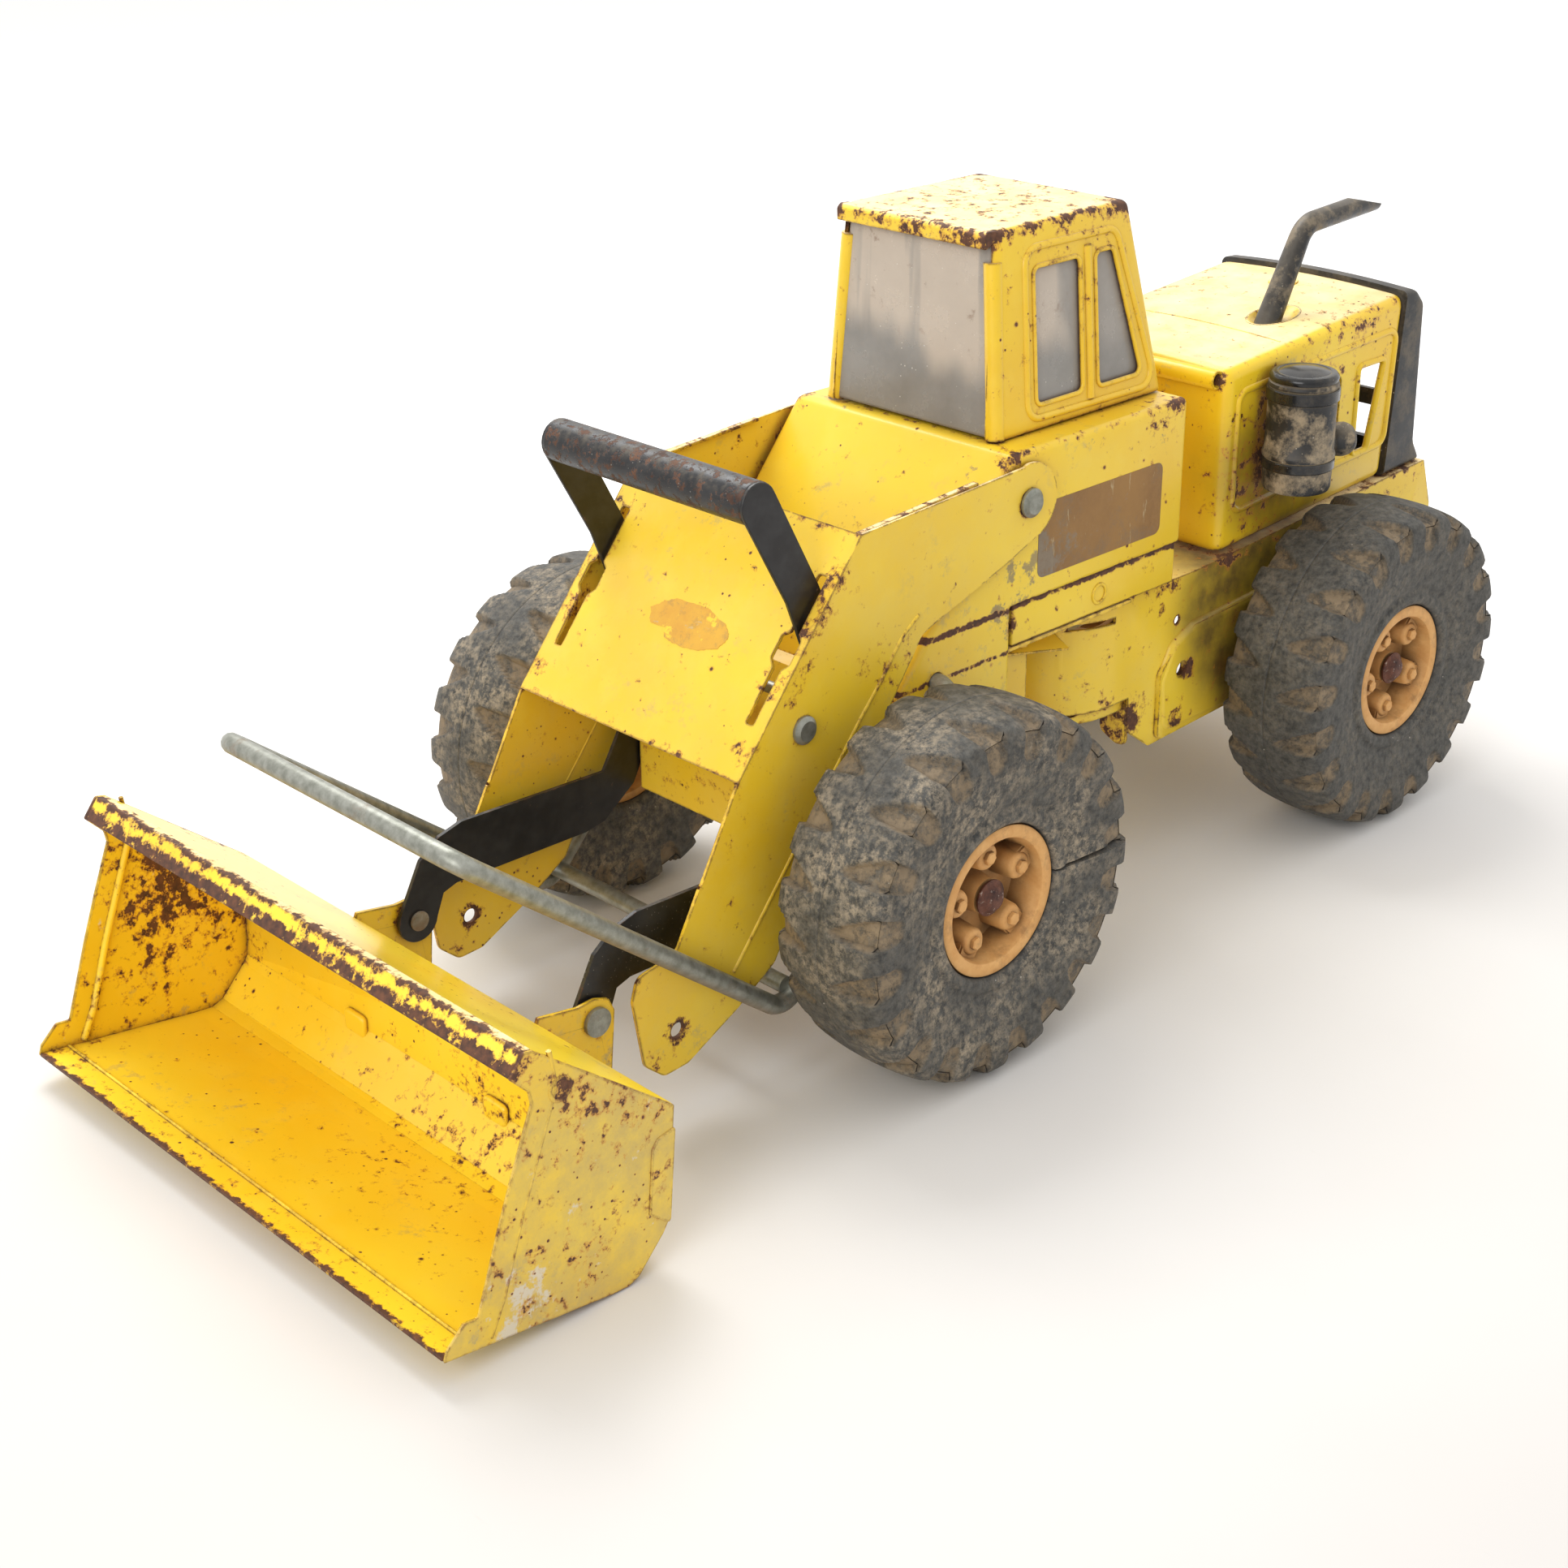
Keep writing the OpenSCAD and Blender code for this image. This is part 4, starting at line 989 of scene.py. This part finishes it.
dress(smooth(roll), PAINT, "rear_chassis")


def hood_top(y):
    return 190.2 + (y - 200.2) * 8.8 / 118.2


def hood_skin(x, y, drop=0.0):
    """A point on the crowned top of the hood, or drop mm below it."""
    return place(x, y, hood_top(y) + HOOD_CROWN * (1 - (x / HOOD_HALF) ** 2) - drop)


# the oval dent that the exhaust stands in
bm = bmesh.new()
rings = []
for step, drop in ((1.06, -0.1), (1.02, -0.16), (0.97, 0.05), (0.88, 0.7), (0.74, 1.7), (0.5, 2.6), (0.25, 3.0)):
    x, y, a, b = DENT
    rings.append([bm.verts.new(hood_skin(*point, drop)) for point in oval(x, y, a * step, b * step, ROUND)])
skin(bm, rings)
bm.faces.new(rings[-1])
dress(smooth(hollow(mesh_object("exhaust_dent", bm), 0.5), 60), PAINT, "rear_chassis")
stamp = [place(x, y, hood_top(y) + 1.7) for x, y in oval(-2, 300, 5.5, 5.5, 28)]
tube("hood_stamp", stamp, 0.7, PAINT, "rear_chassis", True)
tube("hood_crease", [hood_skin(x, 240, 0.35) for x in range(-40, 41, 8)], 0.6, PAINT, "rear_chassis")

# ---------------------------------------------------------------- black parts on the hood

bm = prism([
    (312.6, 123.6), (317.7, 200.2), (325.6, 199.8), (331.8, 193.4), (334.4, 134.2), (340.6, 124.9),
], -HOOD_HALF - 0.8, HOOD_HALF + 0.8)
behind = place(0, 320, 0).y
round_edges(bm, [e for e in bm.edges if e.calc_face_angle(0) > math.radians(20)
                 and max(v.co.y for v in e.verts) > behind], 2.6)
arch(bm, range(-40, 41, 8), HOOD_HALF, HOOD_CROWN, 0.19)
grille = mesh_object("grille_moulding", bm)
cut(grille, [prism([(300, 197), (318, 197.2), (325, 197), (329.6, 192.2), (332, 133), (334.4, 126.4), (300, 124.2)],
                   3 - HOOD_HALF, HOOD_HALF - 3)]
    + [prism_y(fillet([(a, low), (b, low), (b, high), (a, high)], 1.5), 326, 350)
       for low, high in ((131.5, 146), (153, 167.5), (174, 188)) for a, b in ((-38, -4), (4, 38))])
dress(smooth(soften(grille, 0.5, 3)), PLASTIC, "rear_chassis", "grille")


PIPE_SIDES, PIPE_WALL = 28, 0.8


def scoop_pipe():
    """The exhaust: a tapered foot, one bend and a slanted open mouth."""
    low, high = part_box("exhaust_stack")
    x = (low.x + high.x) / 2 / MM
    path = fillet([(257.6, 191), (279.5, 229.6), (326.8, 232)], 11, 8, closed=False)
    path = [path[0], (264.5, 203), (271, 214.6)] + path[1:]
    across = Vector((1, 0, 0))
    bm = bmesh.new()
    walls = []
    for wall in (0, PIPE_WALL):
        rings = []
        travelled = 0.0
        for i, (y, z) in enumerate(path):
            if i:
                travelled += math.dist(path[i - 1], (y, z))
            a, b = path[max(i - 1, 0)], path[min(i + 1, len(path) - 1)]
            up = across.cross(Vector((0, b[0] - a[0], b[1] - a[1])).normalized())
            r = 5.2 - min(1.0, travelled / 40) - wall
            ring = [Vector((x, y, z)) + across * r * math.cos(c) + up * r * math.sin(c) for c in turns(PIPE_SIDES)]
            rings.append([bm.verts.new(place(*point)) for point in ring])
        skin(bm, rings)
        walls.append(rings)
    for end in (0, -1):
        skin(bm, [walls[0][end], walls[1][end]])
    pipe = mesh_object("exhaust_pipe", bm)
    cut(pipe, [prism([(304.5, 236.6), (332, 230.0), (345, 240), (320, 262), (296, 250)], x - 12, x + 12)])
    return dress(smooth(pipe, 40), PLASTIC_STACK, "rear_chassis", "exhaust_stack")


scoop_pipe()
CLEANER = (59.8, 229)


def upright(name, profile, material, *nodes):
    """A part of the air cleaner: a solid of revolution round its axis from (radius, z) points."""
    obj = revolve(name, profile, 56)
    obj.data.transform(Matrix.Translation(place(*CLEANER, 0)) @ Matrix.Rotation(-math.pi / 2, 4, "Y"))
    dress(smooth(obj, 35), material, "rear_chassis", *nodes)


upright("air_cleaner_can", [
    (0, 141.8), (11.6, 141.8), (12.6, 142.2), (13.1, 143.4), (13.3, 150.4), (13.3, 155.0), (13.9, 155.2), (14.0, 156.2),
    (13.8, 157.2), (13.4, 157.8), (13.2, 168), (13.2, 177), (13.2, 182.8), (13.5, 183.4), (13.3, 184.4), (12.4, 185.2),
    (12.0, 186), (0, 186),
], PLASTIC_DUSTY, "air_cleaner")
upright("air_cleaner_cap", [
    (0, 184), (11.8, 184), (12.2, 184.6), (13.0, 185.2), (13.2, 186.2), (13.0, 187.2), (12.2, 188), (10.4, 188.3),
    (9.9, 188.1), (7.5, 188.9), (4, 189.5), (0, 189.7),
], PLASTIC_SHINY)
for name, low, high in (("lower", 150.8, 154.6), ("upper", 177.6, 182.4)):
    upright("air_cleaner_band_" + name, [
        (12.8, low), (13.7, low), (14.0, low + 0.4), (14.0, high - 0.4), (13.7, high), (12.8, high),
    ], PLASTIC_SHINY)
inlet = revolve("air_inlet", [(0, -6), (3.6, -6), (3.9, 0), (4.3, 3.5), (5.4, 4.6), (6.3, 6.2), (6.7, 8.4), (6.5, 10.6),
                              (5.6, 12.4), (4.0, 13.6), (2.0, 14.2), (0, 14.3)], 32)
inlet.data.transform(Matrix.Translation(place(63.5, 239, 158.6)) @ Matrix.Rotation(math.radians(72), 4, "Z"))
dress(smooth(inlet, 35), PLASTIC_DUSTY, "rear_chassis")

# ---------------------------------------------------------------- frames

paint_node("front_frame", PAINT_FRAME, 0.5)


def copy_node(node, name):
    """A fresh mesh that starts from a CAD node's shape."""
    source = frame["nodes"][node]
    mesh = source.data.copy()
    mesh.transform(source.matrix_world)
    return add_object(name, mesh)


REAR_HALF = 47.5
NOSE_CUT = [(60, 120), (71, 115.2), (111, 105.4), (111.5, 108), (111.5, 115.95), (60, 122)]
NOSE_SLIT = [(111.6, 110.9), (137, 109.9), (137, 107.6), (111.6, 108.4)]
rear = copy_node("rear_frame", "rear_frame_pressing")
cut(rear, [prism(outline, side * (REAR_HALF - 7), side * (REAR_HALF + 6))
           for outline in (NOSE_CUT, NOSE_SLIT) for side in (1, -1)]
    + [bore((176.5, 78), 3.4, 24)])
dress(smooth(soften(rear, 0.6)), PAINT_FRAME, "rear_chassis", "rear_frame")
BULGE = [(165.5, 53), (163.2, 76), (170.5, 90), (184, 95.6), (335.5, 103), (335.5, 60.6), (212, 52.9)]
for side, hand in HANDS:
    swell = prism(fillet(BULGE, 6), side * (REAR_HALF - 1), side * (REAR_HALF + 2.5))
    rim = [e for e in swell.edges if all(abs(v.co.x) > (REAR_HALF + 1) * MM for v in e.verts)]
    round_edges(swell, rim, 3.0, 6)
    swell = mesh_object("rear_bulge_" + hand, swell)
    cut(swell, [bore((176.5, 78), 3.4, 24)])
    dress(smooth(swell, 30), PAINT_FRAME, "rear_chassis")
    bm = bmesh.new()
    shelf = [(REAR_HALF - 0.6, 72, 113.6), (REAR_HALF - 0.6, 111, 105.0), (REAR_HALF - 13, 111, 111.5),
             (REAR_HALF - 13, 72, 114.2)]
    bm.faces.new([bm.verts.new(place(side * x, y, z)) for x, y, z in shelf])
    dress(hollow(mesh_object("nose_shelf_" + hand, bm), 0.8), PAINT_FRAME, "rear_chassis")
    tab = [(side * x, z) for x, z in ((47.0, 74), (47.0, 54), (42, 53.2), (34, 57), (33, 74))]
    tab = prism_y(fillet(tab, 3.5), 147.2, 148.6)
    dress(smooth(soften(mesh_object("rear_tab_" + hand, tab), 0.4)), PAINT_FRAME, "rear_chassis")
for side, hand in HANDS:
    ring("frame_stamp_" + hand, side * 49.4, (173.7, 58.4), 3.6, 0.7, PAINT_FRAME, "rear_chassis")

# ---------------------------------------------------------------- loader arms

ARM_HALF = half_width("loader_arms")
WEB_FRONT, WEB_BACK = Vector((-63.6, 111.4)), Vector((-7.5, 181.2))
WEB_RUN = (WEB_BACK - WEB_FRONT).normalized()
WEB_OUT = Vector((-WEB_RUN.y, WEB_RUN.x))
LIFT = Vector(JOINT["lift"]["pos_m"]) / MM - Vector((0, AXLE_Y, 0))
ARM_SIDE = (
    [(-81.0, 80.5), (-92, 60.6), (-108.6, 58.0), (-111.0, 50), (-107, 24.5), (-99, 17.5), (-88.5, 18.1), (-66, 29.4),
     (-48.6, 40.2), (-44.6, 47.2), (17.2, 131.6), (21.5, 138.2), (33, 142.4), (64, 152.4)]
    + arc((LIFT.y, LIFT.z), 14.1, -62, 100, 16)
)


def is_web(normal):
    return normal.y * WEB_OUT.x + normal.z * WEB_OUT.y > 0.995


def web_sheet(face):
    """Is the face a part of the sloping sheet, which ends at its lower front edge?"""
    return is_web(face.normal) and face.calc_center_median().z > (WEB_FRONT.y - 1) * MM


def on_web(x, s, proud):
    """A point x across the sloping sheet, s up from its front edge and proud mm out of it."""
    return place(x, *(WEB_FRONT + WEB_RUN * s + WEB_OUT * proud))


bm = prism([tuple(WEB_BACK), tuple(WEB_FRONT)] + fillet(ARM_SIDE, 4.5, 4), -ARM_HALF, ARM_HALF)
web_edges = [e for e in bm.edges if len(e.link_faces) == 2 and any(is_web(f.normal) for f in e.link_faces)
             and any(abs(f.normal.x) > 0.9 for f in e.link_faces)]
round_edges(bm, web_edges, 3.4)
bm.normal_update()


bmesh.ops.delete(bm, geom=[f for f in bm.faces if abs(f.normal.x) < 0.05 and not web_sheet(f)], context="FACES")
arms = hollow(mesh_object("arm_pressing", bm, outward=False))


def web_solid(outline):
    """A cutter through the sloping sheet."""
    return slab(*([on_web(x, s, depth) for x, s in outline] for depth in (-5, 5)))


SLOT = fillet([(46.9, 19), (50.6, 19), (50.6, 39), (53.0, 41.5), (53.0, 50), (50.8, 52), (50.8, 73), (46.9, 73),
               (46.9, 52), (44.2, 50), (44.2, 42), (46.9, 39)], 0.9, 3)
cut(arms, [web_solid(SLOT), web_solid([(-x, s) for x, s in SLOT])]
    + [bore((-92.8, 32.5), 2.7, 20)])
dress(smooth(soften(arms, 0.35)), PAINT_ARMS, "lift_arms", "loader_arms")
for side, hand in HANDS:
    hem = prism([(-7.0, 180.0), (-7.0, 181.1), (49.5, 185.0), (49.5, 183.8)], side * 52.5, side * 55.2)
    dress(soften(mesh_object("arm_hem_" + hand, hem), 0.3), PAINT_HEM, "lift_arms")
    line = fillet([(20, 146), (12, 140.5), (2.4, 128), (-7.6, 117), (-42.7, 74), (-67.4, 43.8)], 14, 5, closed=False)
    tube("arm_crease_" + hand, [place(side * (ARM_HALF - 0.45), y, z) for y, z in line], 0.95, PAINT_ARMS, "lift_arms")


bm = bmesh.new()
badge = []
for t in turns(120):
    rough = 0.5 * noise.noise(Vector((3.2 * math.cos(t), 3.2 * math.sin(t), 1.0)))
    rough += 0.35 * noise.noise(Vector((11 * math.cos(t), 11 * math.sin(t), 4.0)))
    bite = 0.34 * math.exp(-((t - 3.95) / 0.22) ** 2)
    size = 1 + 0.14 * rough - bite
    badge.append(bm.verts.new(on_web(4 + 19 * size * math.cos(t), 42 + 7.6 * size * math.sin(t), 0.12)))
bm.faces.new(badge)
solid = bmesh.ops.extrude_face_region(bm, geom=bm.faces[:])
for v in solid["geom"]:
    if isinstance(v, bmesh.types.BMVert):
        v.co -= Vector((0, WEB_OUT.x, WEB_OUT.y)) * 0.3 * MM
dress(mesh_object("web_badge", bm), DECAL_ARM, "lift_arms")

# ---------------------------------------------------------------- tilt handle and links

LEVER_HALF = half_width("tilt_lever")
GRIP = (-46.2, 199.0)


def handle_grip():
    """A strap rolled round into a grip: a drum with rounded ends, open along its underside."""
    h = LEVER_HALF
    strap = arc(GRIP, 7.45, -40, 235, 30) + arc(GRIP, 5.9, 235, -40, 30)
    parts = [mesh_object("strap", prism(strap, -h + 1.5, h - 1.5))]
    for side in (1, -1):
        disc = revolve("disc", [(0, h - 2.6), (6.6, h - 2.6), (7.45, h - 2.4), (7.45, h - 1.4), (7.1, h - 0.9),
                                (6.3, h - 0.5), (5.2, h - 0.4), (0, h - 0.4)], 48)
        disc.data.transform(Matrix.Translation(place(0, *GRIP)) @ Matrix.Diagonal((side, 1, 1, 1)))
        if side < 0:
            disc.data.flip_normals()
        parts.append(disc)
    dress(smooth(soften(join("handle_grip", parts), 0.3, 2, 50), 50), ENAMEL_WORN, "tilt_handle")


handle_grip()
legs = []
for side in (1, -1):
    outline = (arc(GRIP, 7.3, 25, 205, 12)
               + [(-34.6, 163)] + fillet([(-34.6, 163), (-21.6, 129.4), (-34, 130), (-42.6, 125), (-41.5, 115),
                                          (-30, 112.4), (-8, 105.4), (0.6, 108.5), (1.6, 119), (-20, 164)], 4.5, 5,
                                         closed=False)[1:-1] + [(-20.5, 166)])
    legs.append(mesh_object("leg", prism(outline, side * (LEVER_HALF - 1.5), side * LEVER_HALF)))
legs = join("handle_legs", legs)
dress(smooth(soften(legs, 0.35)), ENAMEL, "tilt_handle", "tilt_lever")
paint_node("tilt_links", ENAMEL, 0.35)

# ---------------------------------------------------------------- bucket

paint_node("bucket_shell", PAINT_BUCKET, 0.5)
paint_node("bucket_sides", PAINT_SIDES, 0.5)
paint_node("bucket_brackets", PAINT_SIDES, 0.15)
BUCKET_HALF = half_width("bucket_sides")
for side, hand in HANDS:
    x = side * (BUCKET_HALF - 0.35)
    ring("bucket_stamp_" + hand, x, (-186.7, 78.8), 3.6, 0.8, PAINT_SIDES, "bucket")
    fold = fillet([(-189.5, 92), (-187.8, 80), (-203, 42), (-210.5, 20), (-216, 9)], 12, 5, closed=False)
    tube("bucket_fold_" + hand, [place(x - side * 0.25, y, z) for y, z in fold], 0.8, PAINT_SIDES, "bucket")
    inner = [place(side * (BUCKET_HALF - 1.3), y, z) for y, z in fold[1:]]
    tube("bucket_ridge_" + hand, inner, 1.3, PAINT_BUCKET, "bucket")
    flap = [(-145.4, 47.6), (-152.6, 46.2), (-154.8, 43.4), (-156.8, 21.4), (-149.2, 15.2), (-148.4, 16.5)]
    flap = prism(fillet(flap, 1), side * (BUCKET_HALF - 0.5), side * (BUCKET_HALF + 0.55))
    dress(smooth(soften(mesh_object("bucket_flap_" + hand, flap), 0.45, 3)), PAINT_SIDES, "bucket")
fold = [place(x, -222, 9.2) for x in (-BUCKET_HALF + 2, BUCKET_HALF - 2)]
tube("cutting_edge_fold", fold, 0.6, PAINT_BUCKET, "bucket")


def squared(value):
    """A sine or cosine pushed out towards 1, which turns an oval into a rounded oblong."""
    return math.copysign(abs(value) ** 0.4, value)


for x, name in ((-44.5, "left"), (33, "right")):
    tab = [(x + 6 * squared(math.cos(t)), 17 + 4.4 * squared(math.sin(t))) for t in turns(40)]
    tab = prism_y(tab, -149.0, -151.6)
    dress(smooth(soften(mesh_object("bucket_tab_" + name, tab), 1.2, 4, 30), 50), PAINT_BUCKET, "bucket")

# ---------------------------------------------------------------- wire, pins and rivets

for node in ("lift_rivets", "tilt_rivets", "ear_rivets", "steer_pin", "crank_pin"):
    paint_node(node, RIVET_BROWN if node == "ear_rivets" else RIVET, 0.5)


def bend3(points, radius, steps=7):
    """Rounds the corners of an open line in space."""
    out = [points[0]]
    for before, p, after in zip(points, points[1:], points[2:]):
        a, b = (before - p).normalized(), (after - p).normalized()
        half = a.angle(b) / 2
        eaten = radius / math.tan(half)
        centre = p + (a + b).normalized() * (radius / math.sin(half))
        start, end = p + a * eaten - centre, p + b * eaten - centre
        turn = start.angle(end)
        for k in range(steps + 1):
            t = k / steps
            out.append(centre + (start * math.sin((1 - t) * turn) + end * math.sin(t * turn)) / math.sin(turn))
    return out + [points[-1]]


BAIL_X, BAIL_END = 63, 49
PIVOT, HEEL, BAR = (32, 117), (-51.8, 25.9), (-178, 126.5)
near_side = [Vector((BAIL_END, *PIVOT))] + [Vector((BAIL_X, *point)) for point in (PIVOT, HEEL, BAR)]
far_side = [Vector((-p.x, p.y, p.z)) for p in reversed(near_side)]
wire = [place(*p) for p in bend3(near_side + far_side, 8.5)]
tube("bail_bent_wire", wire, 3.4, ZINC, "lift_bail", False, "bail_wire")
paint_node("bail_cross_bar", ZINC, 0.4, 50)

# ---------------------------------------------------------------- floor, light, camera

bpy.ops.mesh.primitive_plane_add(size=8, location=(0, 0, -0.0003))
floor = bpy.context.object
floor.name = "floor"
floor.data.materials.append(plain_floor("floor_paper"))

scene = bpy.context.scene
scene.view_settings.view_transform = "Standard"
world = bpy.data.worlds.new("studio")
scene.world = world
world.use_nodes = True
backdrop = world.node_tree
sky = backdrop.nodes["Background"]
direction = backdrop.nodes.new("ShaderNodeTexCoord")
towards = backdrop.nodes.new("ShaderNodeVectorMath")
towards.operation = "DOT_PRODUCT"
towards.inputs[1].default_value = (-0.6, 0.55, 0.58)
fall = backdrop.nodes.new("ShaderNodeMapRange")
fall.inputs["From Min"].default_value = -0.6
fall.inputs["From Max"].default_value = 0.45
fall.inputs["To Min"].default_value = 0.66
fall.inputs["To Max"].default_value = 1.12
backdrop.links.new(direction.outputs["Generated"], towards.inputs[0])
backdrop.links.new(towards.outputs["Value"], fall.inputs["Value"])
backdrop.links.new(fall.outputs[0], sky.inputs[1])
sky.inputs[0].default_value = (1.0, 0.992, 0.98, 1)


def softbox(name, where, size, power):
    """A square soft light that faces the middle of the machine."""
    data = bpy.data.lights.new(name, "AREA")
    data.shape = "SQUARE"
    data.size = size
    data.energy = power
    obj = add_object(name, data)
    obj.location = where
    obj.rotation_mode = "QUATERNION"
    obj.rotation_quaternion = (Vector((0, 0, 0.1)) - Vector(where)).to_track_quat("-Z", "Y")


softbox("key", (-0.75, 0.25, 1.35), 0.8, 15)
softbox("fill", (0.5, -1.6, 0.85), 1.0, 12)

camera_data = bpy.data.cameras.new("camera")
camera_data.sensor_width = 36
camera_data.lens = 55.67
camera_data.clip_start, camera_data.clip_end = 0.01, 50
camera = add_object("camera", camera_data)
RIGHT = Vector((0.69297, 0.72088, -0.01137))
UP = Vector((-0.30106, 0.30367, 0.90396))
BACK = Vector((0.65510, -0.62299, 0.42746))
basis = Matrix((RIGHT, UP, BACK)).transposed()
camera.matrix_world = Matrix.Translation(place(573.62, -535.62, 442.35)) @ basis.to_4x4()
scene.camera = camera
